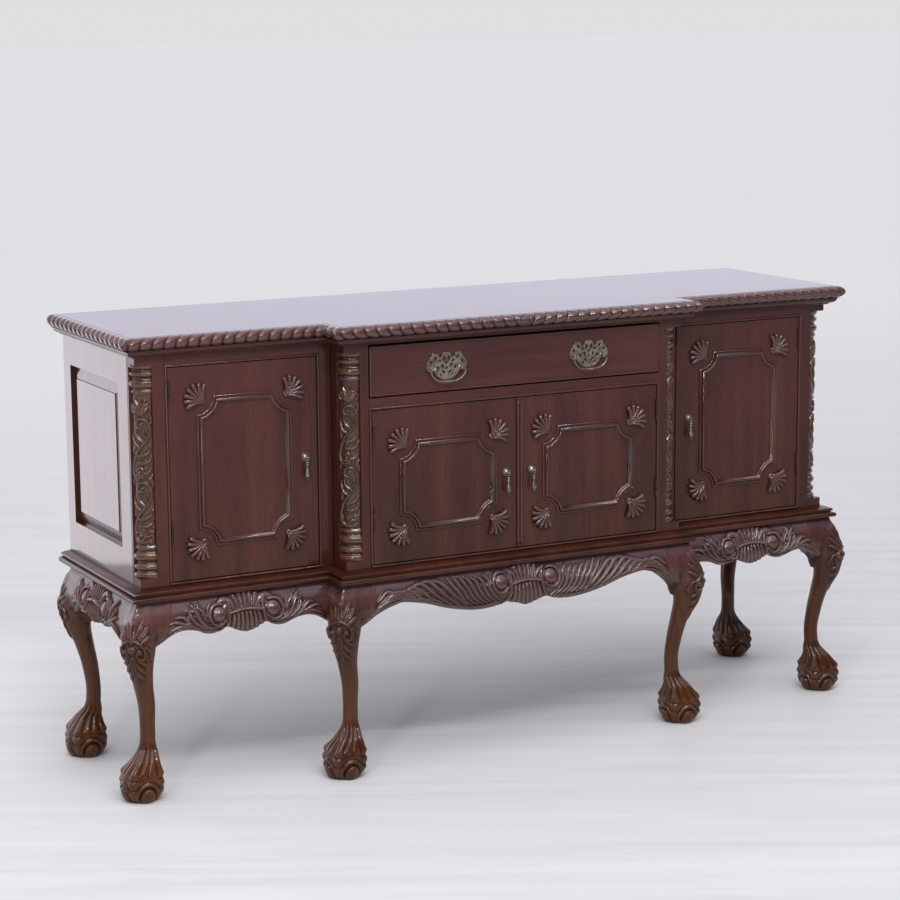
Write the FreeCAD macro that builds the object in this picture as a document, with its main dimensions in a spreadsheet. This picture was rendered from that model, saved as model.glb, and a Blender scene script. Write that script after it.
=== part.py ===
import FreeCAD, Part
import math
import os
import re

import Sketcher

# A breakfront sideboard on cabriole legs: a carcass with two side cupboards, a
# projecting centre with a drawer above a pair of doors, and a carved stand.
# Millimetres. +X is the viewer's right, -Y the front, +Z up. The origin is on the
# floor under the middle of the whole piece.

doc = FreeCAD.newDocument("Sideboard")

# ---------------------------------------------------------------- driving sizes

SIZES = [
    ("half_width", 865, "side of the carcass from the middle"),
    ("centre_half", 422, "side of the projecting centre from the middle"),
    ("side_front", -162, "front plane of the side sections"),
    ("centre_front", -227, "front plane of the centre section"),
    ("back", 280, "back plane"),
    ("top_z", 985, "top of the top board"),
    ("top_low", 958, "underside of the top board"),
    ("cove_low", 941, "underside of the cove moulding"),
    ("waist_top", 453.5, "top of the waist moulding"),
    ("waist_step", 441, "step between the two rolls of the waist moulding"),
    ("floor_top", 456, "top of the bottom board"),
    ("stand_top", 430, "top of the legs and aprons"),
    ("gadroon_out", 36, "how far the gadroon edge stands out from the carcass"),
    ("gadroon_in", 14, "how far the plain top board stands out"),
    ("cove_out", 27, "how far the cove moulding stands out"),
    ("waist_out", 28, "how far the lower roll of the waist moulding stands out"),
    ("waist_upper_out", 21, "how far its upper roll stands out"),
    ("board", 20, "thickness of doors, sides, partitions and shelves"),
    ("rail_thick", 22, "thickness of the face rails and stiles"),
    ("back_thick", 12, "thickness of the back panel"),
    ("column", 37.4, "radius of a quarter column and side of its notch"),
    ("column_shaft", 34, "radius of the carved shaft"),
    ("column_low", 475, "foot of the columns"),
    ("column_high", 926, "head of the columns"),
    ("ring_low", 545, "top of the lower turned rings"),
    ("ring_high", 870, "bottom of the upper turned rings"),
    ("ring_step", 22, "height of one turned ring"),
    ("post_outer", 800, "inner edge of the outer posts"),
    ("post_outer_deep", 45, "depth of the outer posts"),
    ("post_inner", 364, "inner edge of the centre posts"),
    ("side_opening", 450, "centre edge of the side door openings"),
    ("side_head", 922, "top of the side door openings"),
    ("dust_low", 805, "underside of the dust board"),
    ("dust_high", 825, "top of the dust board"),
    ("bead", 5, "width of a cock bead"),
    ("bead_proud", 3, "how far a cock bead stands proud"),
    ("door_gap", 1.5, "gap around a door"),
    ("meeting_left", -6, "free edge of the left centre door"),
    ("meeting_right", -4, "free edge of the right centre door"),
    ("strip_right", 10, "right edge of the astragal strip"),
    ("strip_low", 470, "foot of the astragal strip"),
    ("strip_high", 790, "head of the astragal strip"),
    ("strip_proud", 7, "how far the astragal strip stands proud"),
    ("panel_arc", 38, "radius of the hollow corners of the door panels"),
    ("moulding_wide", 12, "width of the door panel moulding"),
    ("moulding_proud", 6, "how far the door panel moulding stands proud"),
    ("shell_long", 54, "length of a carved shell"),
    ("shell_proud", 8, "how far a shell stands proud"),
    ("shell_across", 14, "root of a shell in from the panel's side"),
    ("shell_inset", 4, "root of a shell in from the panel's head or foot"),
    ("ease", 1.2, "rounding of the edges of boards in view"),
    ("pin_in", 2.4, "hinge pin in from the frame bead"),
    ("pin_out", 2.6, "hinge pin out from the door face"),
    ("knuckle", 2.2, "radius of a hinge knuckle"),
    ("hinge_tall", 50, "height of a hinge"),
    ("leaf_thick", 0.8, "thickness of a hinge leaf"),
    ("leaf_deep", 14, "how far a hinge leaf runs back from the door face"),
    ("plate_thick", 2, "thickness of the metal plates"),
    ("rosette", 9.5, "radius of a pull rosette"),
    ("drop_out", 12, "drop pivot out from the door face"),
    ("drop_post", 2.6, "radius of the post that carries a drop"),
    ("drop_long", 46, "length of a drop below its pivot"),
    ("pear", 6.2, "largest radius of a drop"),
    ("stem", 2, "radius of a drop's stem"),
    ("cross_pin", 0.9, "radius of the pin that a drop swings on"),
    ("pin_play", 0.06, "play between that pin and the drop's eye"),
    ("eye_half", 4.5, "half the length of that pin"),
    ("eye_low", 6, "bottom of a drop's eye below its pivot"),
    ("eye_open", 3.6, "bottom of the gap in a drop's eye below its pivot"),
    ("ear_inner", 3, "inner face of the ears of a drop's eye"),
    ("ear_outer", 4.4, "outer face of the ears of a drop's eye"),
    ("bail_half", 40, "side of a bail from its middle"),
    ("bail_post", 33, "post of a bail from its middle"),
    ("bail_out", 11, "bail pivot out from the drawer face"),
    ("bail_drop", 26, "how far a bail hangs below its pivot"),
    ("bail_wire", 2.4, "radius of a bail"),
    ("bail_bend", 3.5, "radius of the bends at a bail's shoulders"),
    ("bail_corner", 13, "radius of a bail's lower corners"),
    ("bail_end", 3, "how far a bail and its posts reach past the pivot"),
    ("bail_stud", 3.2, "radius of the posts on a bail backplate"),
    ("plate_half", 49, "half the width of a bail backplate"),
    ("plate_tall", 60, "height of a bail backplate"),
    ("plate_low", 852, "bottom of a bail backplate"),
    ("bail_z", 877, "height of the bail pivots"),
    ("bail_x", 178, "middle of each bail from the middle of the drawer"),
    ("drawer_low", 828, "bottom of the drawer front"),
    ("drawer_high", 937, "top of the drawer front"),
    ("drawer_half", 362, "half the width of the drawer front"),
    ("drawer_side", 12, "thickness of the drawer sides and back"),
    ("drawer_deep", 400, "length of the drawer sides"),
    ("drawer_tall", 84, "height of the drawer sides"),
    ("drawer_floor", 6, "thickness of the drawer bottom"),
    ("shelf_side", 680, "underside of the side shelves"),
    ("shelf_centre", 622, "underside of the centre shelf"),
    ("shelf_back_off", 60, "how far the shelves are set back"),
    ("shelf_gap", 1, "gap round a shelf"),
    ("shelf_pin", 2.5, "radius of a shelf pin"),
    ("shelf_pin_long", 9, "length of a shelf pin"),
    ("shelf_pin_front", 30, "front shelf pins behind the shelf's edge"),
    ("shelf_pin_rear", 220, "rear shelf pins behind the shelf's edge"),
    ("leg_block", 60, "side of the square block at a leg's head"),
    ("back_leg_x", 860, "outer corner of a back leg's block, from the middle"),
    ("back_leg_y", 214, "outer corner of a back leg's block, towards the back"),
    ("apron_out", 34, "how far an apron's belly stands out from the carcass"),
    ("apron_in", 22, "how far an apron reaches in behind the carcass face"),
    ("field_front", 103, "front edge of a side panel from the carcass front"),
    ("field_back", 398, "back edge of a side panel from the carcass front"),
    ("field_low", 525, "bottom edge of a side panel"),
    ("field_high", 877, "top edge of a side panel"),
    ("bevel", 30, "width of the bevel round a side panel's field"),
]

sheet = doc.addObject("Spreadsheet::Sheet", "Sizes")
for row, (alias, value, note) in enumerate(SIZES, 1):
    sheet.set(f"A{row}", alias)
    sheet.set(f"B{row}", str(value))
    sheet.setAlias(f"B{row}", alias)
    sheet.set(f"C{row}", note)
doc.recompute()

ALIASES = {alias for alias, value, note in SIZES}


def size(alias):
    return float(getattr(sheet, alias))


def formula(text):
    """A formula of sheet aliases, written as FreeCAD reads it."""
    return re.sub(r"[a-z][a-z_]*[a-z]", lambda m: "Sizes." + m[0] if m[0] in ALIASES else m[0], str(text))


# ---------------------------------------------------------------- ways of making pieces

PIECES = []


def piece(feature, name):
    """Gives a finished sub-part its name and keeps it for export."""
    feature.Label = name
    PIECES.append(feature)
    return feature


def bind(feature, **values):
    for prop, text in values.items():
        feature.setExpression(prop.replace("_", "."), formula(text))


def place(feature, x, y, z):
    for axis, text in (("x", x), ("y", y), ("z", z)):
        feature.setExpression(f"Placement.Base.{axis}", formula(text))


def box(x, y, z):
    """A board between the low and high formulas of each axis."""
    board = doc.addObject("Part::Box", "Board")
    bind(board, Length=f"({x[1]}) - ({x[0]})", Width=f"({y[1]}) - ({y[0]})", Height=f"({z[1]}) - ({z[0]})")
    place(board, x[0], y[0], z[0])
    return board


def rod(radius, length, start, axis="z", angle=None):
    """A round bar from start along axis, or a sector of one."""
    bar = doc.addObject("Part::Cylinder", "Rod")
    bind(bar, Radius=radius, Height=length)
    place(bar, *start)
    if axis == "y":
        bar.Placement.Rotation = FreeCAD.Rotation(FreeCAD.Vector(1, 0, 0), -90)
    if axis == "x":
        bar.Placement.Rotation = FreeCAD.Rotation(FreeCAD.Vector(0, 1, 0), 90)
    if angle is not None:
        bar.Angle = angle
    return bar


def fuse(shapes):
    joined = doc.addObject("Part::MultiFuse", "Fuse")
    joined.Shapes = shapes
    return joined


def group(shapes):
    together = doc.addObject("Part::Compound", "Group")
    together.Links = shapes
    return together


def cut(base, tool):
    left = doc.addObject("Part::Cut", "Cut")
    left.Base = base
    left.Tool = tool
    return left


def eased(board):
    """The same board with every edge slightly rounded."""
    doc.recompute()
    soft = doc.addObject("Part::Fillet", "Eased")
    soft.Base = board
    soft.Edges = [(number + 1, size("ease"), size("ease")) for number in range(len(board.Shape.Edges))]
    return soft


def spread(low, high, side):
    """The span from low to high, on the left (-1) or the right (+1)."""
    return (low, high) if side > 0 else (f"-({high})", f"-({low})")


def origin_plane(body, role):
    return next(f for f in body.Origin.OriginFeatures if f.Role == role)


def new_sketch(body, role, height):
    sketch = body.newObject("Sketcher::SketchObject", "Outline")
    sketch.AttachmentSupport = (origin_plane(body, role), [""])
    sketch.MapMode = "FlatFace"
    sketch.setExpression("AttachmentOffset.Base.z", formula(height))
    return sketch


def draw_polygon(sketch, corners):
    """Closed straight outline whose corners are pairs of formulas."""
    formulas = [(formula(across), formula(up)) for across, up in corners]
    points = [FreeCAD.Vector(float(sketch.evalExpression(across)), float(sketch.evalExpression(up)), 0)
              for across, up in formulas]
    count = len(points)
    for index, point in enumerate(points):
        sketch.addGeometry(Part.LineSegment(point, points[(index + 1) % count]), False)
    for index in range(count):
        sketch.addConstraint(Sketcher.Constraint("Coincident", index, 2, (index + 1) % count, 1))
    for index, (point, texts) in enumerate(zip(points, formulas)):
        for kind, value, text, axis in (("DistanceX", point.x, texts[0], -2), ("DistanceY", point.y, texts[1], -1)):
            if abs(value) < 1e-9:
                sketch.addConstraint(Sketcher.Constraint("PointOnObject", index, 1, axis))
                continue
            number = sketch.addConstraint(Sketcher.Constraint(kind, -1, 1, index, 1, value))
            sketch.setExpression(f"Constraints[{number}]", text)


def draw_circle(sketch, centre, radius):
    spot = FreeCAD.Vector(float(sketch.evalExpression(formula(centre[0]))),
                          float(sketch.evalExpression(formula(centre[1]))), 0)
    sketch.addGeometry(Part.Circle(spot, FreeCAD.Vector(0, 0, 1), float(sketch.evalExpression(formula(radius)))), False)
    for kind, value, text in (("DistanceX", spot.x, centre[0]), ("DistanceY", spot.y, centre[1])):
        number = sketch.addConstraint(Sketcher.Constraint(kind, -1, 1, 0, 3, value))
        sketch.setExpression(f"Constraints[{number}]", formula(text))
    number = sketch.addConstraint(Sketcher.Constraint("Radius", 0, sketch.Geometry[0].Radius))
    sketch.setExpression(f"Constraints[{number}]", formula(radius))


def pad(body, corners, low, high):
    """Pads a plan outline between two heights."""
    sketch = new_sketch(body, "XY_Plane", low)
    draw_polygon(sketch, corners)
    solid = body.newObject("PartDesign::Pad", "Pad")
    solid.Profile = sketch
    bind(solid, Length=f"({high}) - ({low})")
    return solid


# ---------------------------------------------------------------- breakfront outlines

def front_path(out):
    """Corners of the breakfront, from back left round the front to back right."""
    right = [
        (f"centre_half + {out}", f"centre_front - {out}"),
        (f"centre_half + {out}", f"side_front - {out}"),
        (f"half_width + {out}", f"side_front - {out}"),
        (f"half_width + {out}", "back"),
    ]
    left = [(f"-({x})", y) for x, y in reversed(right)]
    return left + right


def breakfront_board(name, out, low, high):
    body = doc.addObject("PartDesign::Body", name)
    pad(body, front_path(out), low, high)
    return piece(body, name)


def strip_round_front(name, layers):
    """A moulding round the front and sides: each layer is inner, outer, low, high."""
    body = doc.addObject("PartDesign::Body", name)
    for inner, outer, low, high in layers:
        pad(body, front_path(outer) + list(reversed(front_path(inner))), low, high)
    return piece(body, name)


def make_top():
    breakfront_board("top_board", "gadroon_in", "top_low", "top_z")
    strip_round_front("gadroon_moulding", [("gadroon_in", "gadroon_out", "top_low", "top_z")])
    strip_round_front("cove_moulding", [("0", "cove_out", "cove_low", "top_low")])


def make_waist():
    breakfront_board("bottom_board", "0", "stand_top", "floor_top")
    strip_round_front("waist_moulding", [("0", "waist_out", "stand_top", "waist_step"),
                                         ("0", "waist_upper_out", "waist_step", "waist_top")])


# ---------------------------------------------------------------- carcass

def make_sides():
    frames, panels = [], []
    for side in (-1, 1):
        across = spread("half_width - board", "half_width", side)
        slab = box(across, ("side_front + post_outer_deep", "back"), ("floor_top", "top_low"))
        window = box(across, ("side_front + field_front", "side_front + field_back"), ("field_low", "field_high"))
        frames.append(cut(eased(slab), window))
        panels.append(fielded_panel(side))
    piece(group(frames), "side_frames")
    piece(group(panels), "side_panels")


def fielded_panel(side):
    """A raised panel: a thin board with a bevelled field on its outer face."""
    body = doc.addObject("PartDesign::Body", "Panel")
    face = "half_width - 4" if side > 0 else "-(half_width - 4)"
    front, rear = "side_front + field_front", "side_front + field_back"
    plan = [(f"({face}) - {side} * 14", front), (f"({face}) - {side} * 8", front),
            (face, f"{front} + bevel"), (face, f"{rear} - bevel"),
            (f"({face}) - {side} * 8", rear), (f"({face}) - {side} * 14", rear)]
    pad(body, plan, "field_low", "field_high")
    return body


def make_partitions():
    boards = [box(spread("post_inner", "post_inner + board", side),
                  ("side_front", "back - back_thick"), ("floor_top", "top_low")) for side in (-1, 1)]
    piece(group(boards), "partitions")


def make_back():
    piece(box(("-(half_width - board)", "half_width - board"),
              ("back - back_thick", "back"), ("floor_top", "top_low")), "back_panel")


def make_post(name, side, outer, inner, front, deep):
    """A corner post notched for its quarter column between two square ends."""
    post = box(spread(inner, outer, side), (front, f"{front} + {deep}"), ("floor_top", "top_low"))
    notch = box(spread(f"{outer} - column", outer, side), (front, f"{front} + column"),
                ("column_low", "column_high"))
    piece(cut(eased(post), notch), name)


def make_column(name, side, outer, front):
    """A quarter column: plain shaft between two stacks of turned rings."""
    x = f"{side} * ({outer} - column)"
    y = f"{front} + column"
    quarter = FreeCAD.Rotation(FreeCAD.Vector(0, 0, 1), 180 if side < 0 else 270)
    pieces = [rod("column_shaft", "column_high - column_low", (x, y, "column_low"), angle=90)]
    for low, high in (("column_low", "ring_low"), ("ring_high", "column_high")):
        rings = int((size(high) - size(low)) // size("ring_step"))
        for ring in range(rings):
            pieces.append(rod("column", "ring_step * 0.6", (x, y, f"{low} + {ring} * ring_step"), angle=90))
    for stack in pieces:
        stack.Placement.Rotation = quarter
    piece(fuse(pieces), name)


def make_face_frame():
    for word, side in (("left", -1), ("right", 1)):
        make_post(f"{word}_outer_post", side, "half_width", "post_outer", "side_front", "post_outer_deep")
        make_post(f"{word}_inner_post", side, "centre_half", "post_inner", "centre_front",
                  "(side_front - centre_front)")
        make_column(f"{word}_outer_column", side, "half_width", "side_front")
        make_column(f"{word}_inner_column", side, "centre_half", "centre_front")
    front = ("side_front", "side_front + rail_thick")
    stiles = [eased(box(spread("centre_half", "side_opening", side), front, ("floor_top", "top_low")))
              for side in (-1, 1)]
    piece(group(stiles), "inner_stiles")
    rails = [box(spread("side_opening", "post_outer", side), front, ("side_head", "top_low"))
             for side in (-1, 1)]
    rails.append(box(("-post_inner", "post_inner"), ("centre_front", "centre_front + rail_thick"),
                     ("cove_low", "top_low")))
    piece(group(rails), "top_rails")
    piece(box(("-post_inner", "post_inner"), ("centre_front", "back - back_thick"),
              ("dust_low", "dust_high")), "dust_board")


def bead_ring(x, front, z):
    """A cock bead lining a door opening, proud of the face."""
    y = (f"{front} - bead_proud", f"{front} + board")
    inside = [(f"({low}) + bead", f"({high}) - bead") for low, high in (x, z)]
    return cut(box(x, y, z), box(inside[0], y, inside[1]))


def make_beads():
    rings = [bead_ring(spread("side_opening", "post_outer", side), "side_front", ("floor_top", "side_head"))
             for side in (-1, 1)]
    rings.append(bead_ring(("-post_inner", "post_inner"), "centre_front", ("floor_top", "dust_low")))
    piece(group(rings), "cock_beads")


SHELF_BAYS = [("side_cupboard", "post_inner + board", "half_width - board", "side_front", "shelf_side"),
              ("centre_cupboard", "-post_inner", "post_inner", "centre_front", "shelf_centre")]


def make_shelves():
    shelves, pins = [], []
    for bay, low, high, front, under in SHELF_BAYS:
        for side in ((-1, 1) if bay == "side_cupboard" else (1,)):
            x = spread(f"{low} + shelf_gap", f"{high} - shelf_gap", side)
            y = (f"{front} + shelf_back_off", "back - back_thick - shelf_gap")
            shelves.append(box(x, y, (under, f"{under} + board")))
            for start in (f"({x[0]}) - shelf_gap", f"({x[1]}) + shelf_gap - shelf_pin_long"):
                for depth in ("shelf_pin_front", "shelf_pin_rear"):
                    foot = (start, f"{y[0]} + {depth}", f"{under} - shelf_pin")
                    pins.append(rod("shelf_pin", "shelf_pin_long", foot, axis="x"))
    piece(group(shelves), "shelves")
    piece(group(pins), "shelf_pins")


# ---------------------------------------------------------------- stand

# Sections of a leg: height, centre outwards sideways and endways from the corner, radius.
LEG_SECTIONS = [(430, -11, -11, 33), (395, 5, 5, 36), (345, 14, 14, 36), (300, 12, 12, 29), (250, 2, 1, 21),
                (200, -7, -9, 18), (150, -10, -14, 16.5), (112, -8, -12, 17), (85, 1, -4, 30),
                (58, 8, -7, 43), (30, 9, -7, 46), (0, 9, -7, 32)]


def make_leg(name, corner_x, corner_y, side, facing):
    """A cabriole leg lofted through round sections, with a square block at its head."""
    body = doc.addObject("PartDesign::Body", name)
    sketches = []
    for height, sideways, endways, radius in LEG_SECTIONS:
        sketch = new_sketch(body, "XY_Plane", height)
        draw_circle(sketch, (f"{side} * ({corner_x} + {sideways})", f"{corner_y} + {facing * endways}"), radius)
        sketches.append(sketch)
    loft = body.newObject("PartDesign::AdditiveLoft", "Loft")
    loft.Profile = sketches[0]
    loft.Sections = sketches[1:]
    across = spread(f"{corner_x} - leg_block", corner_x, side)
    deep = (f"{corner_y}", f"{corner_y} + leg_block") if facing < 0 else (f"{corner_y} - leg_block", f"{corner_y}")
    block = [(across[0], deep[0]), (across[1], deep[0]), (across[1], deep[1]), (across[0], deep[1])]
    pad(body, block, "stand_top - 75", "stand_top")
    return piece(body, name)


def make_legs():
    legs = {}
    for word, side in (("left", -1), ("right", 1)):
        legs[f"{word}_front_leg"] = make_leg(f"{word}_front_leg", "half_width", "side_front", side, -1)
        legs[f"{word}_centre_leg"] = make_leg(f"{word}_centre_leg", "centre_half", "centre_front", side, -1)
        legs[f"{word}_back_leg"] = make_leg(f"{word}_back_leg", "back_leg_x", "back_leg_y", side, 1)
    return legs


# Half of each apron's lower edge: distance from its middle and height.
SIDE_BAY_EDGE = [(221, 312), (185, 342), (137, 365), (78, 350), (0, 344)]
CENTRE_EDGE = [(410, 303), (365, 352), (300, 379), (110, 340), (0, 338)]
END_EDGE = [(165, 307), (135, 339), (95, 362), (50, 351), (0, 347)]


def apron_blank(edge, start, along, inwards):
    """A scalloped board: its face runs along, and its thickness goes inwards."""
    top = size("stand_top")
    points = [start + along * -far + FreeCAD.Vector(0, 0, high) for far, high in edge]
    points += [start + along * far + FreeCAD.Vector(0, 0, high) for far, high in reversed(edge[:-1])]
    lower = Part.BSplineCurve()
    lower.interpolate(points)
    ends = [FreeCAD.Vector(p.x, p.y, top) for p in (points[-1], points[0])]
    wire = Part.Wire([lower.toShape(), Part.makeLine(points[-1], ends[0]),
                      Part.makeLine(ends[0], ends[1]), Part.makeLine(ends[1], points[0])])
    return Part.Face(wire).extrude(inwards * (size("apron_out") + size("apron_in")))


def make_apron(name, edge, middle, along, inwards, legs):
    """An apron fitted round the legs that it meets."""
    start = middle - inwards * size("apron_out")
    blank = apron_blank(edge, start, along, inwards)
    for leg in legs:
        blank = blank.cut(leg.Shape)
    whole = max(blank.Solids, key=lambda solid: solid.Volume)
    feature = doc.addObject("Part::Feature", name)
    feature.Shape = whole
    return piece(feature, name)


def make_aprons(legs):
    sideways, inward = FreeCAD.Vector(1, 0, 0), FreeCAD.Vector(0, 1, 0)
    bay = (size("half_width") + size("centre_half")) / 2
    make_apron("centre_front_apron", CENTRE_EDGE, FreeCAD.Vector(0, size("centre_front"), 0), sideways, inward,
               [legs["left_centre_leg"], legs["right_centre_leg"]])
    mid_depth = (size("side_front") + size("back_leg_y")) / 2
    for word, side in (("left", -1), ("right", 1)):
        make_apron(f"{word}_front_apron", SIDE_BAY_EDGE, FreeCAD.Vector(side * bay, size("side_front"), 0),
                   sideways, inward, [legs[f"{word}_front_leg"], legs[f"{word}_centre_leg"]])
        make_apron(f"{word}_side_apron", END_EDGE, FreeCAD.Vector(side * size("half_width"), mid_depth, 0),
                   inward, FreeCAD.Vector(-side, 0, 0), [legs[f"{word}_front_leg"], legs[f"{word}_back_leg"]])
    piece(box(("-(back_leg_x - leg_block)", "back_leg_x - leg_block"), ("back_leg_y - board", "back_leg_y"),
              ("stand_top - 60", "stand_top")), "back_apron")


# ---------------------------------------------------------------- doors

# Each door: its hinge side, edges from the middle outwards, front plane, foot, head,
# and the panel moulding's edges in the same order.
DOORS = {
    "left_door": dict(side=-1, x=("side_opening + bead + door_gap", "post_outer - bead - door_gap"),
                      front="side_front", head="side_head - bead - door_gap", panel=("516", "732"),
                      panel_z=("531", "851"), pull=("486", "701")),
    "right_door": dict(side=1, x=("side_opening + bead + door_gap", "post_outer - bead - door_gap"),
                       front="side_front", head="side_head - bead - door_gap", panel=("516", "732"),
                       panel_z=("531", "851"), pull=("486", "701")),
    "left_centre_door": dict(side=-1, x=("-meeting_left", "post_inner - bead - door_gap"),
                             front="centre_front", head="dust_low - bead - door_gap", panel=("56", "294"),
                             panel_z=("527", "728"), pull=("32", "635")),
    "right_centre_door": dict(side=1, x=("meeting_right", "post_inner - bead - door_gap"),
                              front="centre_front", head="dust_low - bead - door_gap", panel=("60", "298"),
                              panel_z=("527", "728"), pull=("32", "635")),
}


def notched_plate(x, y, z, radius, inset):
    """A plate with hollow quarter-round corners, set in from the panel's edges."""
    plate = box((f"({x[0]}) + {inset}", f"({x[1]}) - {inset}"), y, (f"{z[0]} + {inset}", f"{z[1]} - {inset}"))
    corners = [rod(f"{radius} + {inset}", f"({y[1]}) - ({y[0]})", (across, y[0], up), axis="y")
               for across in x for up in z]
    return cut(plate, fuse(corners))


# How wide a shell opens, in degrees.
SHELL_SPREAD = 80


def make_shell(x, y, z, start):
    """A fan-shaped shell, opening upwards from start degrees."""
    fan = rod("shell_long", "shell_proud", (x, y, z), axis="y", angle=SHELL_SPREAD)
    turn = FreeCAD.Rotation(FreeCAD.Vector(1, 0, 0), 90).multiply(FreeCAD.Rotation(FreeCAD.Vector(0, 0, 1), start))
    fan.Placement.Rotation = turn
    return fan


def make_ornament(name, door):
    """The applied panel moulding and a carved shell outside each of its corners."""
    x = spread(*door["panel"], door["side"])
    z = door["panel_z"]
    front = door["front"]
    y = (f"{front} - moulding_proud", front)
    ring = cut(notched_plate(x, y, z, "panel_arc", "0"), notched_plate(x, y, z, "panel_arc", "moulding_wide"))
    pieces = [ring]
    for across, sign, starts in ((x[0], 1, (95, 185)), (x[1], -1, (5, -85))):
        apex = f"({across}) + {sign} * shell_across"
        pieces.append(make_shell(apex, front, f"{z[1]} - shell_inset", starts[0]))
        pieces.append(make_shell(apex, front, f"{z[0]} + shell_inset", starts[1]))
    piece(group(pieces), name)


def make_rosette(name, x, front, z):
    """A round plate with a post, whose cross pin carries the drop."""
    plate = rod("rosette", "plate_thick", (x, f"{front} - plate_thick", z), axis="y")
    post = rod("drop_post", "drop_out + 2", (x, f"{front} - drop_out - 2", z), axis="y")
    pin = rod("cross_pin", "2 * eye_half", (f"{x} - eye_half", f"{front} - drop_out", z), axis="x")
    piece(fuse([plate, post, pin]), name)


def make_drop(name, x, front, z):
    """A pear-shaped drop below a forked eye that swings on the cross pin."""
    y = f"{front} - drop_out"
    deep = (f"{y} - stem", f"{y} + stem")
    ears = [box((f"{x} + {low}", f"{x} + {high}"), deep, (f"{z} - eye_low", f"{z} + stem"))
            for low, high in (("-1 * ear_outer", "-1 * ear_inner"), ("ear_inner", "ear_outer"))]
    bridge = box((f"{x} - ear_outer", f"{x} + ear_outer"), deep, (f"{z} - eye_low", f"{z} - eye_open"))
    stem = rod("stem", "drop_long - 8", (x, y, f"{z} - drop_long + 4"))
    neck = doc.addObject("Part::Cone", "Neck")
    bind(neck, Radius1="pear", Radius2=2.2, Height=16)
    place(neck, x, y, f"{z} - drop_long + pear")
    ball = doc.addObject("Part::Sphere", "Pear")
    bind(ball, Radius="pear")
    place(ball, x, y, f"{z} - drop_long + pear")
    bore = rod("cross_pin + pin_play", "4 * ear_inner", (f"{x} - 2 * ear_inner", y, z), axis="x")
    piece(cut(fuse(ears + [bridge, stem, neck, ball]), bore), name)


def make_hinges(name, door):
    """Two butt hinges: a leaf on the frame's bead and the knuckle round the pin."""
    side = door["side"]
    edge = f"({door['x'][1]} + door_gap)"
    pieces = []
    for height in door["hinge_z"]:
        leaf = box(spread(f"{edge} - leaf_thick", edge, side),
                   (f"{door['front']} - pin_out", f"{door['front']} + leaf_deep"),
                   (f"{height} - hinge_tall / 2", f"{height} + hinge_tall / 2"))
        barrel = rod("knuckle", "hinge_tall", (f"{side} * ({edge} - pin_in)", f"{door['front']} - pin_out",
                                               f"{height} - hinge_tall / 2"))
        pieces.append(fuse([leaf, barrel]))
    return pieces


def make_doors():
    hinges = []
    for name, door in DOORS.items():
        side, front = door["side"], door["front"]
        foot = "floor_top + bead + door_gap"
        piece(eased(box(spread(*door["x"], side), (front, f"{front} + board"), (foot, door["head"]))), name)
        make_ornament(f"{name}_ornament", door)
        pull_x = f"{side} * {door['pull'][0]}"
        make_rosette(f"{name}_rosette", pull_x, front, door["pull"][1])
        make_drop(f"{name}_drop", pull_x, front, door["pull"][1])
        door["hinge_z"] = ("865", "565") if front == "side_front" else ("740", "563")
        hinges += make_hinges(name, door)
    piece(group(hinges), "frame_hinges")
    piece(box(("meeting_right", "strip_right"), ("centre_front - strip_proud", "centre_front"),
              ("strip_low", "strip_high")), "astragal_strip")


# ---------------------------------------------------------------- drawer

def make_drawer():
    front_back = "centre_front + board"
    low = "(dust_high + 1)"
    piece(eased(box(("-drawer_half", "drawer_half"), ("centre_front", front_back),
                    ("drawer_low", "drawer_high"))), "drawer_front")
    sides = [box(spread("drawer_half - 2 - drawer_side", "drawer_half - 2", side),
                 (front_back, f"{front_back} + drawer_deep"), (low, f"{low} + drawer_tall")) for side in (-1, 1)]
    piece(group(sides), "drawer_sides")
    inner = ("-(drawer_half - 2 - drawer_side)", "drawer_half - 2 - drawer_side")
    floor_z = (f"{low} + 9", f"{low} + 9 + drawer_floor")
    piece(box(inner, (f"{front_back} + drawer_deep - drawer_side", f"{front_back} + drawer_deep"),
              (floor_z[1], f"{low} + drawer_tall - 8")), "drawer_back")
    piece(box(inner, (front_back, f"{front_back} + drawer_deep"), floor_z), "drawer_bottom")


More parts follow.
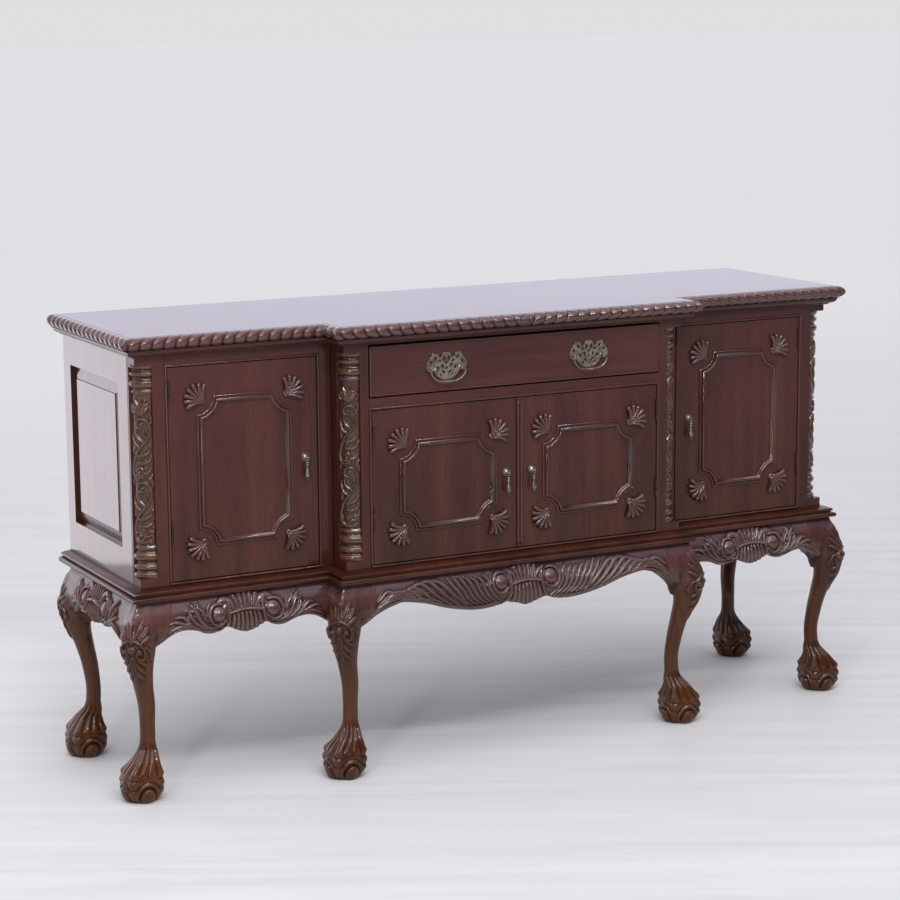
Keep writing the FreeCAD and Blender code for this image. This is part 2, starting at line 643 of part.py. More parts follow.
def make_bail(name, side):
    """A bail bent from round bar, its two ends turned in as pivots."""
    body = doc.addObject("PartDesign::Body", name)
    middle = f"{side} * bail_x"
    path = body.newObject("Sketcher::SketchObject", "Path")
    path.AttachmentSupport = (origin_plane(body, "XZ_Plane"), [""])
    path.MapMode = "FlatFace"
    half, drop, bend = size("bail_half"), size("bail_drop"), size("bail_bend")
    inner = size("bail_post") - size("bail_end")
    centre_x, height = side * size("bail_x"), size("bail_z")
    corner = size("bail_corner")

    def at(across, down):
        return FreeCAD.Vector(centre_x + across, height - down, 0)

    run = []
    for way in (-1, 1):
        side_run = [
            Part.LineSegment(at(way * inner, 0), at(way * (half - bend), 0)),
            Part.Arc(at(way * (half - bend), 0), at(way * (half - bend + bend * math.sin(math.pi / 4)),
                     bend - bend * math.cos(math.pi / 4)), at(way * half, bend)),
            Part.LineSegment(at(way * half, bend), at(way * half, drop - corner)),
            Part.Arc(at(way * half, drop - corner),
                     at(way * (half - corner + corner * math.cos(math.pi / 4)),
                        drop - corner + corner * math.sin(math.pi / 4)), at(way * (half - corner), drop)),
        ]
        run.append(side_run)
    bottom = Part.LineSegment(at(-(half - corner), drop), at(half - corner, drop))
    for segment in run[0] + [bottom] + list(reversed(run[1])):
        path.addGeometry(segment, False)
    path.setExpression("AttachmentOffset.Base.z", formula("-(centre_front - bail_out)"))
    doc.recompute()
    section = new_sketch(body, "YZ_Plane", f"{middle} - ({inner})")
    draw_circle(section, ("centre_front - bail_out", "bail_z"), "bail_wire - 0.8")
    pipe = body.newObject("PartDesign::AdditivePipe", "Pipe")
    pipe.Profile = section
    pipe.Spine = (path, [f"Edge{n}" for n in range(1, 10)])
    pipe.Transition = "Round corner"
    return piece(body, name)


def make_bail_plates():
    """Two backplates, each with a pair of posts bored for its bail."""
    pieces = []
    for side in (-1, 1):
        middle = f"{side} * bail_x"
        plate = box((f"{middle} - plate_half", f"{middle} + plate_half"),
                    ("centre_front - plate_thick", "centre_front"), ("plate_low", "plate_low + plate_tall"))
        posts, bores = [], []
        for way in (-1, 1):
            x = f"{middle} + {way} * bail_post"
            tip = "centre_front - bail_out - bail_end"
            posts.append(rod("bail_stud", "bail_out + bail_end", (x, tip, "bail_z"), axis="y"))
            bores.append(rod("bail_wire - 0.7", "10", (f"{x} - 5", "centre_front - bail_out", "bail_z"), axis="x"))
        pieces.append(cut(fuse([plate] + posts), fuse(bores)))
    piece(group(pieces), "bail_plates")


# ---------------------------------------------------------------- build and export

make_top()
make_waist()
make_sides()
make_partitions()
make_back()
make_face_frame()
make_beads()
make_shelves()
legs = make_legs()
doc.recompute()
make_aprons(legs)
make_doors()
make_drawer()
make_bail_plates()
for word, side in (("left", -1), ("right", 1)):
    make_bail(f"{word}_bail", side)
doc.recompute()

for feature in doc.Objects:
    if "Invalid" in feature.State or "Error" in feature.State:
        raise RuntimeError(f"{feature.Name} ({feature.Label}) failed")
for feature in PIECES:
    if feature.Shape.isNull() or not feature.Shape.isValid():
        raise RuntimeError(f"{feature.Label} has no valid shape")

os.makedirs("parts", exist_ok=True)
for feature in PIECES:
    feature.Shape.exportStep(f"parts/{feature.Label}.step")
print(len(PIECES), "sub-parts")
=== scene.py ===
import math

import bmesh
import bpy
import numpy as np
from mathutils import Matrix, Vector


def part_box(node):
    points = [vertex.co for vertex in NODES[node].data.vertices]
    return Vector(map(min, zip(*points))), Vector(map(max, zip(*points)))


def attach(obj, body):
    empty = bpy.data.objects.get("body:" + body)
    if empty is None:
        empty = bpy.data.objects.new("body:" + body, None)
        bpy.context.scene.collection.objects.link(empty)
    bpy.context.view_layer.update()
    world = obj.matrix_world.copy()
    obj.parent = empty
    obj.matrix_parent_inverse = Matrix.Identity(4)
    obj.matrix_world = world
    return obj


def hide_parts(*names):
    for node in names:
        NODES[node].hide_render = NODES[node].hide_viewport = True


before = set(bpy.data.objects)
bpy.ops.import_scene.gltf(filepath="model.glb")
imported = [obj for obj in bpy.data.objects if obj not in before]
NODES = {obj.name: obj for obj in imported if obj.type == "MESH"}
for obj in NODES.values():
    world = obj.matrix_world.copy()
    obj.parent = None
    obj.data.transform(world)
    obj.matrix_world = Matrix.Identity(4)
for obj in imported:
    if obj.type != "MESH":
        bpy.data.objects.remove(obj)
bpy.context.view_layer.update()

MM = 0.001
SIDES = (("left", -1), ("right", 1))
DOORS = ("left_door", "right_door", "left_centre_door", "right_centre_door")
SQUARE = (0, 0), (1, 0), (1, 1), (0, 1)
BOXES = {}


def corners(node):
    """The lowest and highest corner of a CAD node, in mm."""
    if node not in BOXES:
        low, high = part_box(node)
        BOXES[node] = np.array(low) / MM, np.array(high) / MM
    return BOXES[node]


# -------- curves, grids and pieces

def smooth_line(points, count):
    """Points along a smooth curve through the given ones."""
    p = np.asarray(points, float)
    p = np.vstack([2 * p[0] - p[1], p, 2 * p[-1] - p[-2]])
    t = np.linspace(0, len(p) - 3, count)
    i = np.minimum(t.astype(int), len(p) - 4)
    f = (t - i)[:, None]
    a, b, c, d = p[i], p[i + 1], p[i + 2], p[i + 3]
    return b + 0.5 * f * (c - a + f * (2 * a - 5 * b + 4 * c - d + f * (3 * (b - c) + d - a)))


def between(keys, at):
    """Values on a smooth curve through rows of (place, value) that never overshoots them."""
    x, y = np.array(sorted(keys), float).T
    at = np.clip(at, x[0], x[-1])
    step = np.diff(x)
    rise = np.diff(y) / step
    slope = np.concatenate([rise[:1], np.zeros(len(y) - 2), rise[-1:]])
    for k in range(1, len(y) - 1):
        if rise[k - 1] * rise[k] > 0:
            slope[k] = 2 * rise[k - 1] * rise[k] / (rise[k - 1] + rise[k])
    i = np.clip(np.searchsorted(x, at, side="right") - 1, 0, len(step) - 1)
    h = step[i]
    t = (at - x[i]) / h
    return (y[i] * (1 + 2 * t) * (1 - t) ** 2 + h * slope[i] * t * (1 - t) ** 2
            + y[i + 1] * t * t * (3 - 2 * t) - h * slope[i + 1] * t * t * (1 - t))


def ramp(value, low, high):
    """0 below low and 1 above high, with a soft passage between."""
    t = np.clip((value - low) / (high - low), 0, 1)
    return t * t * (3 - 2 * t)


def hump(value, middle, wide):
    """1 at the middle, fading to nothing on both sides."""
    return np.exp(-((value - middle) / wide) ** 2)


def link(thing):
    bpy.context.scene.collection.objects.link(thing)


def grid_faces(rows, cols, wrap_rows=False, wrap_cols=False):
    index = np.arange(rows * cols).reshape(rows, cols)
    if wrap_rows:
        index = np.vstack([index, index[:1]])
    if wrap_cols:
        index = np.hstack([index, index[:, :1]])
    return np.stack([index[:-1, :-1], index[1:, :-1], index[1:, 1:], index[:-1, 1:]], -1).reshape(-1, 4)


class Shape:
    """Points in mm and the faces between them, gathered part by part."""

    def __init__(self):
        self.points, self.faces, self.count = [], [], 0

    def add(self, points, *faces):
        points = np.asarray(points, float).reshape(-1, 3)
        self.points.append(points)
        self.faces += [np.atleast_2d(block) + self.count for block in faces]
        self.count += len(points)
        return self

    def loft(self, loops, close=False):
        """A solid through closed loops of equal length; close joins the last to the first."""
        loops = np.asarray(loops, float)
        n, m = loops.shape[:2]
        faces = [grid_faces(n, m, wrap_rows=close, wrap_cols=True)]
        if not close:
            faces += [np.arange(m)[None], (n - 1) * m + np.arange(m)[None]]
        return self.add(loops, *faces)

    def tube(self, line, radii, sides=10, flat=1.0, across=(0, -1, 0)):
        """A round bar along a line; flat squeezes it towards the across direction."""
        line = np.asarray(line, float)
        radii = np.broadcast_to(radii, len(line))
        along = np.gradient(line, axis=0)
        along /= np.linalg.norm(along, axis=1)[:, None]
        out = np.cross(along, np.broadcast_to(np.array(across, float), line.shape))
        out /= np.maximum(np.linalg.norm(out, axis=1), 1e-9)[:, None]
        up = np.cross(out, along)
        turn = np.arange(sides) * 2 * math.pi / sides
        turn = turn[None, :, None]
        ring = out[:, None] * np.cos(turn) + up[:, None] * np.sin(turn) * flat
        return self.loft(line[:, None] + ring * radii[:, None, None])

    def lathe(self, outline, centre, axis="z", steps=32):
        """A solid turned about an axis, from rows of (place along the axis, radius)."""
        turn = np.arange(steps) * 2 * math.pi / steps
        place, radius = np.asarray(outline, float).T
        a = radius[:, None] * np.cos(turn)
        b = radius[:, None] * np.sin(turn)
        c = np.broadcast_to(place[:, None], a.shape)
        order = {"z": (a, b, c), "y": (a, c, b), "x": (c, a, b)}[axis]
        return self.loft(np.stack(order, -1) + np.asarray(centre, float))


def new_piece(name, shape, body, slot, material, *stands_for, wear_and_painted_light=False, smooth=True, crisp=None):
    """A mesh piece that rides on a body, stands for CAD nodes and takes the given material; its slot is not
    used.

    Its wear-and-light flag measures its hollows and edges, which carry wear, painted highlights and painted
    shade; crisp keeps edges sharper than this angle crisp."""
    mesh = bpy.data.meshes.new(name)
    faces = [face for block in shape.faces for face in block.tolist()]
    points = np.concatenate(shape.points) * MM
    mesh.from_pydata(points.tolist(), [], faces, shade_flat=not smooth)
    whole = bmesh.new()
    whole.from_mesh(mesh)
    bmesh.ops.recalc_face_normals(whole, faces=whole.faces)
    whole.to_mesh(mesh)
    whole.free()
    if wear_and_painted_light:
        mark_wear_and_painted_light(mesh)
    if crisp:
        mesh.set_sharp_from_angle(angle=math.radians(crisp))
    piece = bpy.data.objects.new(name, mesh)
    link(piece)
    mesh.materials.append(material)
    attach(piece, body)
    if stands_for:
        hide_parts(*stands_for)


def carved(name, shape, material, *stands_for, body="carcass"):
    new_piece(name, shape, body, "carved_mahogany", material, *stands_for, wear_and_painted_light=True)


# How far the edge and hollow measures look, in rounds of smoothing, and the height in mm that counts as a
# full edge or hollow: edges show as wear with painted highlight, hollows as painted shade.
NEAR_ROUNDS, NEAR_DEPTH = 2, 0.12
WIDE_ROUNDS, WIDE_DEPTH = 14, 0.7


def mark_wear_and_painted_light(mesh):
    """Stores how far each point stands above its surroundings: near by as edge, wider as hollow."""
    n = len(mesh.vertices)
    place, normal = np.zeros(n * 3), np.zeros(n * 3)
    mesh.vertices.foreach_get("co", place)
    mesh.vertex_normals.foreach_get("vector", normal)
    place, normal = place.reshape(-1, 3), normal.reshape(-1, 3)
    edge = np.zeros(len(mesh.edges) * 2, int)
    mesh.edges.foreach_get("vertices", edge)
    a, b = edge.reshape(-1, 2).T
    links = np.maximum(np.bincount(a, minlength=n) + np.bincount(b, minlength=n), 1)
    soft = place
    for count in range(1, WIDE_ROUNDS + 1):
        total = [np.bincount(a, soft[b, k], n) + np.bincount(b, soft[a, k], n) for k in range(3)]
        soft = np.stack(total, -1) / links[:, None]
        if count == NEAR_ROUNDS:
            store(mesh, "edge", ((place - soft) * normal).sum(1) / (NEAR_DEPTH * MM))
    store(mesh, "hollow", ((soft - place) * normal).sum(1) / (WIDE_DEPTH * MM))


def store(mesh, name, values):
    mesh.attributes.new(name, "FLOAT", "POINT").data.foreach_set("value", np.clip(values, -1, 1))


# -------- carving

# How wide a stroke is along its length, as a share of its full width.
STROKES = {
    "leaf": lambda t: np.sin(math.pi * t ** 0.75) ** 0.7,
    "comma": lambda t: 0.25 + 0.75 * np.sin(math.pi * (0.08 + 0.84 * t ** 1.6)) ** 0.8,
    "ray": lambda t: 0.3 + 0.7 * t ** 0.7,
    "tail": lambda t: 1 - 0.85 * t,
    "bar": lambda t: 0.75 + 0.25 * np.sin(math.pi * t),
}


class Relief:
    """The height of a carving over a map (across, up), in mm. Where things meet, the highest shows."""

    def __init__(self, across, up):
        self.across, self.up = across, up
        self.height = np.zeros(across.shape)

    def stroke(self, kind, width, height, *points):
        """A rounded ridge along a curve."""
        line = smooth_line(points, max(12, 6 * len(points)))
        share = np.maximum(STROKES[kind](np.linspace(0, 1, len(line))), 0.05)
        for k in range(len(line) - 1):
            self.ridge(line[k], line[k + 1], share[k], share[k + 1], width, height)

    def strokes(self, kind, *rows, lift=0):
        """Strokes of one kind, from rows of (width, height, points), all raised by lift."""
        for width, height, *points in rows:
            self.stroke(kind, width, height, *(np.array(points) + (0, lift)))

    def ridge(self, start, end, first, last, width, height):
        """One straight piece of a stroke, whose width and height run from a first to a last share."""
        reach = width * max(first, last)
        middle, half = (start + end) / 2, np.abs(end - start) / 2 + reach
        near = np.nonzero((np.abs(self.across - middle[0]) < half[0])
                          & (np.abs(self.up - middle[1]) < half[1]))
        if not len(near[0]):
            return
        u, v = self.across[near] - start[0], self.up[near] - start[1]
        du, dv = end - start
        t = np.clip((u * du + v * dv) / max(du * du + dv * dv, 1e-9), 0, 1)
        share = first + (last - first) * t
        away = np.hypot(u - t * du, v - t * dv) / (width * share)
        rise = height * share ** 0.5 * np.sqrt(np.clip(1 - away ** 2, 0, 1))
        self.height[near] = np.maximum(self.height[near], rise)

    def dome(self, centre, radius, height):
        away = np.hypot(self.across - centre[0], self.up - centre[1]) / radius
        self.height = np.maximum(self.height, height * np.sqrt(np.clip(1 - away ** 2, 0, 1)))

    def groove(self, width, depth, *points):
        """A rounded cut along a curve, taken out of what is already there."""
        line = smooth_line(points, max(10, 5 * len(points)))
        dent = Relief(self.across, self.up)
        for start, end in zip(line[:-1], line[1:]):
            dent.ridge(start, end, 1, 1, width, depth)
        self.height = self.height - dent.height


# -------- materials

class Nodes:
    """A node tree under construction: add makes a node, and a value that is a socket is linked."""

    def __init__(self, owner):
        owner.use_nodes = True
        self.tree = owner.node_tree

    def put(self, socket, value):
        if isinstance(value, bpy.types.NodeSocket):
            self.tree.links.new(value, socket)
        else:
            socket.default_value = value

    def add(self, kind, values=(), **settings):
        node = self.tree.nodes.new("ShaderNode" + kind)
        for key, value in settings.items():
            setattr(node, key, value)
        for key, value in dict(values).items():
            self.put(node.inputs[key], value)
        return node

    def place(self, axis, kind="Object"):
        """The place along one axis, in metres."""
        return self.add("SeparateXYZ", {0: self.add("TexCoord").outputs[kind]}).outputs[axis]

    def mix(self, share, a, b):
        node = self.add("Mix", data_type="RGBA")
        for key, value in ((0, share), (6, a), (7, b)):
            if isinstance(value, tuple):
                value = (*value, 1)
            self.put(node.inputs[key], value)
        return node.outputs[2]

    def maths(self, what, a, b=0.0):
        return self.add("Math", {0: a, 1: b}, operation=what).outputs[0]

    def blend(self, a, b, share):
        """Two values added, a by its share and b by the rest."""
        return self.maths("ADD", self.maths("MULTIPLY", a, share), self.maths("MULTIPLY", b, 1 - share))

    def band(self, value, low, high, start=0.0, end=1.0, kind="LINEAR"):
        """A value that runs from start to end while the given one runs from low to high."""
        values = {"Value": value, "From Min": low, "From Max": high, "To Min": start, "To Max": end}
        return self.add("MapRange", values, interpolation_type=kind).outputs["Result"]


class Surface(Nodes):
    """A material under construction."""

    def __init__(self, name):
        self.material = bpy.data.materials.new(name)
        super().__init__(self.material)
        self.shader = self.tree.nodes["Principled BSDF"]

    def stored(self, name):
        return self.add("Attribute", attribute_name=name).outputs["Fac"]

    def noise(self, scale, detail=4.0, rough=0.55, twist=0.0, turn=0.0):
        """Noise over the piece, squeezed by a scale along each axis."""
        place = self.add("TexCoord").outputs["Object"]
        if turn:
            place = self.add("Mapping", {"Vector": place, "Rotation": (0, 0, turn)}).outputs["Vector"]
        place = self.add("Mapping", {"Vector": place, "Scale": scale}).outputs["Vector"]
        values = {"Vector": place, "Scale": 1.0, "Detail": detail, "Roughness": rough, "Distortion": twist}
        return self.add("TexNoise", values).outputs["Fac"]

    def ramp(self, value, *stops):
        """A colour ramp from rows of (place, colour)."""
        node = self.add("ValToRGB", {"Fac": value})
        steps = node.color_ramp.elements
        while len(steps) < len(stops):
            steps.new(0.5)
        for step, (place, colour) in zip(steps, stops):
            step.position, step.color = place, (*colour, 1)
        return node.outputs["Color"]

    def bump(self, height, strength, distance):
        node = self.add("Bump", {"Height": height, "Strength": strength, "Distance": distance})
        self.put(self.shader.inputs["Normal"], node.outputs["Normal"])
        self.put(self.shader.inputs["Coat Normal"], node.outputs["Normal"])

    def finish(self, **values):
        for key, value in values.items():
            self.put(self.shader.inputs[key.replace("_", " ")], value)
        return self.material


# How the grain's noise is squeezed along each axis, for wood that runs each way.
GRAIN = {"up": (14, 14, 0.8), "across": (0.8, 14, 14), "all": (6, 6, 6)}


def wood(name, grain, tones, low_tones=None, heights=(0.41, 0.3), gloss=1.0, wear_and_highlight=None, rim=None):
    """Polished mahogany in three tones, with its grain along one direction.

    low_tones take over between two heights, in metres. With a rim share, hollows get painted shade and raised
    edges that share of the rim colour: wear with painted highlight."""
    s = Surface(name)
    scale = Vector(GRAIN[grain])
    figure = s.noise(scale, detail=5, rough=0.6, twist=0.8)
    streak = s.noise(scale * 9, detail=3, rough=0.6, twist=0.2)
    pores = s.noise(scale * 55, detail=2, rough=0.5)
    cloud = s.noise((2.6, 2.6, 2.6), detail=2)
    tone = s.blend(figure, streak, 0.72)
    places = (0.3, 0.5, 0.7)
    colour = s.ramp(tone, *zip(places, tones))
    dark, _, light = tones
    colour = s.mix(s.band(cloud, 0.38, 0.68, 0, 0.75), colour, light)
    if low_tones:
        low = s.band(s.place("Z"), *heights)
        colour = s.mix(low, colour, s.ramp(tone, *zip(places, low_tones)))
    colour = s.mix(s.band(pores, 0.5, 0.36, 0, 0.3), colour, tuple(c * 0.35 for c in dark))
    rough = s.band(streak, 0.3, 0.7, 0.36, 0.46)
    if wear_and_highlight is not None:
        # Painted light: hollows darken toward near-black as painted shade, and raised edges take the rim
        # colour as wear with painted highlight.
        hollow, edge = s.stored("hollow"), s.stored("edge")
        stain = s.noise((60, 60, 60), detail=3)
        wear_and_painted_light = s.maths("ADD", edge, s.band(stain, 0.3, 0.7, -0.3, 0.2))
        colour = s.mix(s.band(wear_and_painted_light, 0.15, 0.9, 0, wear_and_highlight), colour, rim or AMBER)
        colour = s.mix(s.band(hollow, 0.06, 0.5, 0, 0.85), colour, HOLLOW_SHADE)
        rough = s.maths("ADD", rough, s.band(hollow, 0.0, 0.5, -0.04, 0.2))
    s.bump(s.blend(pores, streak, 0.5), 0.1, 0.0006)
    return s.finish(Base_Color=colour, Roughness=rough, Specular_IOR_Level=0.12, Coat_Weight=gloss,
                    Coat_IOR=1.55, Coat_Roughness=0.07)


def plain_wood(name, grain):
    """Unpolished secondary wood with a thin brown stain."""
    s = Surface(name)
    scale = Vector(GRAIN[grain])
    figure = s.noise(scale, detail=5, rough=0.65, twist=1.2)
    streak = s.noise(scale * 12, detail=3)
    colour = s.ramp(figure, (0.3, (0.12, 0.055, 0.028)), (0.5, (0.21, 0.105, 0.055)),
                    (0.7, (0.3, 0.165, 0.09)))
    colour = s.mix(s.band(streak, 0.5, 0.3, 0, 0.5), colour, (0.09, 0.04, 0.02))
    s.bump(streak, 0.2, 0.0008)
    return s.finish(Base_Color=colour, Roughness=s.band(streak, 0.3, 0.7, 0.55, 0.75))


def metal(name, low=(0.14, 0.11, 0.085), middle=(0.28, 0.245, 0.21), high=(0.4, 0.35, 0.28)):
    """Aged brass gone pewter grey, brighter where handling polishes it and brown in the hollows."""
    s = Surface(name)
    patch = s.noise((90, 90, 90), detail=4, rough=0.6)
    speck = s.noise((900, 900, 900), detail=2)
    colour = s.ramp(patch, (0.35, low), (0.55, middle), (0.72, high))
    hollow, edge = s.stored("hollow"), s.stored("edge")
    colour = s.mix(s.band(hollow, 0.05, 0.6, 0, 0.85), colour, (0.05, 0.035, 0.025))
    colour = s.mix(s.band(edge, 0.2, 1, 0, 0.6), colour, (0.75, 0.7, 0.62))
    s.bump(speck, 0.15, 0.0003)
    return s.finish(Base_Color=colour, Metallic=0.9, Roughness=s.band(patch, 0.3, 0.7, 0.42, 0.3))


# Colours: amber edges (wear with painted highlight), painted shade for hollows, and the dark, middle and
# light tone of each wood.
AMBER = (0.2, 0.083, 0.027)
HOLLOW_SHADE = (0.017, 0.006, 0.003)
RED = (0.022, 0.0062, 0.0056), (0.05, 0.0137, 0.0122), (0.088, 0.026, 0.021)
RUSSET = (0.022, 0.0052, 0.0024), (0.05, 0.012, 0.0048), (0.09, 0.0245, 0.009)
BROWN = (0.03, 0.0075, 0.0022), (0.064, 0.0175, 0.0035), (0.105, 0.033, 0.007)
# LILAC: the upper stand's tones, lifted toward grey-lilac as a painted overhead sheen on the wood's own
# colour.
LILAC = (0.028, 0.0105, 0.0105), (0.062, 0.0245, 0.0245), (0.105, 0.044, 0.043)
UMBER = (0.026, 0.0075, 0.004), (0.056, 0.017, 0.0065), (0.095, 0.033, 0.011)
# A pale lilac rim colour: painted highlight on raised edges.
PALE_HIGHLIGHT = (0.33, 0.23, 0.22)
# The case goes from its red tones to its russet ones between these heights, in metres.
CASE_HEIGHTS = (0.88, 0.42)
WOOD = {grain: wood(f"mahogany_{grain}", grain, RED, RUSSET, CASE_HEIGHTS, gloss=0.4) for grain in GRAIN}
POLISHED = {grain: wood(f"polished_mahogany_{grain}", grain, RED, RUSSET, CASE_HEIGHTS)
            for grain in ("up", "across")}
# The carved finishes paint shade into their hollows; their rims are amber (wear with painted highlight) or
# pale (painted highlight).
COLUMN = wood("column_mahogany", "up", UMBER, gloss=1.0, wear_and_highlight=0.16)
# The stand is lilac above 0.41 m, a painted sheen from above, going to its brown wood below 0.3 m.
STAND = wood("stand_mahogany", "up", LILAC, BROWN, gloss=0.4, wear_and_highlight=0.12)
STAND_FLAT = wood("stand_mahogany_flat", "across", LILAC, BROWN, gloss=0.9, wear_and_highlight=0.1, rim=PALE_HIGHLIGHT)
SHELL = wood("shell_mahogany", "all", RED, RUSSET, CASE_HEIGHTS, wear_and_highlight=0.07, rim=PALE_HIGHLIGHT)
INTERIOR = plain_wood("interior_wood", "up")
INTERIOR_FLAT = plain_wood("interior_wood_flat", "across")
BRASS = metal("antique_brass")
DARK_BRASS = metal("hinge_brass", (0.035, 0.02, 0.014), (0.07, 0.045, 0.03), (0.13, 0.09, 0.06))


# -------- legs

# Rows of (height, value): how far the stand's face stands out from the carcass, the leg's middle
# out from its corner, its radius, how far the square head reaches inwards, how far its outer faces
# draw back, and how round its corners are.
FACE_OUT = [
    (430, 16), (422, 18.5), (415, 22), (400, 29), (385, 34), (370, 36), (350, 34), (335, 30), (320, 26),
    (300, 22)]
KNEE_OUT = [(430, -12), (410, -5), (395, 0), (380, 6), (365, 11), (345, 14), (300, 12)]
LEG_SIDEWAYS = KNEE_OUT + [(250, 2), (200, -7), (150, -10), (112, -8), (85, 1), (58, 8), (30, 9), (0, 9)]
LEG_ENDWAYS = KNEE_OUT + [(250, 1), (200, -7), (150, -14), (112, -12), (85, -4), (58, -7), (30, -7), (0, -7)]
LEG_RADIUS = [
    (430, 25), (410, 28), (395, 30.5), (380, 33), (365, 35), (345, 36), (300, 29), (250, 21), (200, 18),
    (150, 16.3), (125, 16.6), (112, 18), (98, 23), (85, 29), (70, 36.5), (58, 41), (45, 43.5), (30, 43),
    (18, 40), (8, 36), (0, 31)]
HEAD_IN = [(430, 60), (366, 60), (357, 53), (348, 43), (338, 34), (328, 27), (318, 21), (306, 14)]
HEAD_OUT = [(345, 0), (335, -4), (325, -9), (315, -16), (300, -24)]
HEAD_ROUND = [(430, 3), (410, 5), (395, 10), (380, 18), (360, 26), (340, 26), (300, 10)]
LEG_STEPS, LEG_ROWS = 240, 300
# The head melts into the round leg over MELT mm, and the search for the surface halves FAR this often.
MELT, FAR, HALVINGS = 6.0, 140.0, 26
HEAD_FOOT, STAND_TOP = 304, 430.0


def head_distance(a, b, z, wide):
    """Signed distance from the square head's outline at each height."""
    out = between(FACE_OUT, z) + between(HEAD_OUT, z) + 0.5
    inwards = between(HEAD_IN, z)
    rounding = between(HEAD_ROUND, z)
    total = 0.0
    for place, more in ((a, wide), (b, 0.0)):
        middle, half = (out + more - inwards) / 2, (out + more + inwards) / 2
        total = total + np.maximum(np.abs(place - middle) - (half - np.minimum(rounding, half)), 0) ** 2
    return np.sqrt(total) - rounding


def leg_points(wide):
    """A leg's surface in (out sideways, out endways, height) from its corner."""
    heights = np.linspace(0, STAND_TOP, LEG_ROWS)
    turn = np.linspace(0, 2 * math.pi, LEG_STEPS, endpoint=False)
    z, angle = np.meshgrid(heights, turn, indexing="ij")
    middle_a, middle_b = between(LEG_SIDEWAYS, z), between(LEG_ENDWAYS, z)
    radius = between(LEG_RADIUS, z)
    way_a, way_b = np.cos(angle), np.sin(angle)
    near, far = np.zeros_like(z), np.full_like(z, FAR)
    for _ in range(HALVINGS):
        reach = (near + far) / 2
        square = head_distance(middle_a + way_a * reach, middle_b + way_b * reach, z, wide)
        square = np.where(z > HEAD_FOOT, square, 1e3)
        round_part = reach - radius
        blend = np.clip(0.5 + 0.5 * (round_part - square) / MELT, 0, 1)
        inside = round_part + (square - round_part) * blend - MELT * blend * (1 - blend) < 0
        near, far = np.where(inside, reach, near), np.where(inside, far, reach)
    reach = (near + far) / 2
    off = (angle - math.pi / 4 + math.pi) % (2 * math.pi) - math.pi
    reach = reach + knee_carving(reach * off, z) + foot_carving(off, z)
    return np.stack([middle_a + way_a * reach, middle_b + way_b * reach, z], -1)


def knee_carving(across, z):
    """Acanthus on the knee: a lobed crown, a pair of scrolled eyes and a hanging leaf."""
    r = Relief(np.abs(across), z)
    r.strokes("tail", (22, 2.2, (0, 392), (0, 340), (0, 300), (0, 250)))
    r.strokes(
        "leaf", (9, 5.5, (0, 352), (0, 378), (0, 400)), (6, 5, (6, 356), (12, 378), (17, 394)),
        (6, 4.6, (12, 356), (23, 372), (31, 384)), (5, 4.2, (16, 350), (30, 360), (41, 366)),
        (5.5, 5, (9, 322), (20, 308), (30, 304)), (5.5, 4.6, (6, 310), (15, 292), (24, 284)),
        (5, 4.2, (3, 294), (11, 276), (17, 266)), (6, 5.5, (0, 326), (0, 300), (0, 246)))
    r.stroke("bar", 3.2, 6.5, (0, 358), (10, 356), (22, 346), (27, 330), (20, 317), (11, 322), (12, 333),
             (18, 334))
    r.strokes("comma", (4.5, 5, (25, 344), (37, 338), (43, 324), (38, 314)))
    r.dome((16, 333), 6.5, 6.5)
    r.dome((0, 338), 9, 7.5)
    r.groove(1.4, 2.2, (0, 398), (0, 366))
    r.groove(1.3, 2.0, (0, 318), (0, 262))
    r.groove(1.2, 1.8, (10, 362), (16, 388))
    r.groove(1.2, 1.8, (16, 362), (29, 380))
    return r.height * ramp(62 - np.abs(across), 0, 10)


def foot_carving(off, z):
    """A ball held by four toes: one on the diagonal, one behind and one at each side."""
    quarter = math.pi / 2
    toe = np.abs((off + quarter / 2) % quarter - quarter / 2)
    broad = hump(toe, 0, 0.24)
    height = 5.0 * broad * ramp(z, 2, 20) * ramp(120 - z, 0, 60)
    for middle, tall, proud in ((63, 8, 3.4), (42, 6.5, 3), (24, 5.5, 2.2), (52, 2.2, -1.6), (32, 2.2, -1.6)):
        height += proud * hump(z, middle, tall) * broad
    ribs = np.abs(np.cos(6 * off)) ** 0.8
    height += (ribs - 0.55) * 4.2 * ramp(z, 52, 68) * ramp(130 - z, 0, 34)
    # The ball between the toes, and the rings cut round it.
    side = ((off % quarter) - quarter / 2) * 40
    away = np.hypot(side, (z - 10) * 0.74)
    height += 5.5 * np.sqrt(np.clip(1 - (away / 17.0) ** 2, 0, 1)) * ramp(z, -4, 4)
    for far, wide, proud, low, high in ((18.5, 2, -4, 4, 14), (23.5, 2.6, 2.6, 4, 14),
                                        (28.5, 1.8, -2, 22, 36)):
        height += proud * hump(away, far, wide) * ramp(z, low, high)
    return height * ramp(132 - z, 0, 8)


# Each leg's facing along y, and how much wider than the block its head is outwards.
LEGS = {"front": (-1, 0.0), "centre": (-1, 0.0), "back": (1, 5.0)}
BACK_CORNER = 860.0, 214.0


def leg_corner(place):
    """The carcass corner that a leg stands under; a back leg's corner is just inside the side."""
    if place == "back":
        return BACK_CORNER
    low, _ = corners("left_outer_post" if place == "front" else "left_inner_post")
    return -low[0], low[1]


def make_legs():
    for place, (facing, wide) in LEGS.items():
        local = leg_points(wide)
        corner_x, corner_y = leg_corner(place)
        for word, side in SIDES:
            points = local * (side, facing, 1) + (side * corner_x, corner_y, 0)
            name = f"{word}_{place}_leg"
            carved(f"carved_{name}", Shape().loft(points), STAND, name)


# -------- aprons

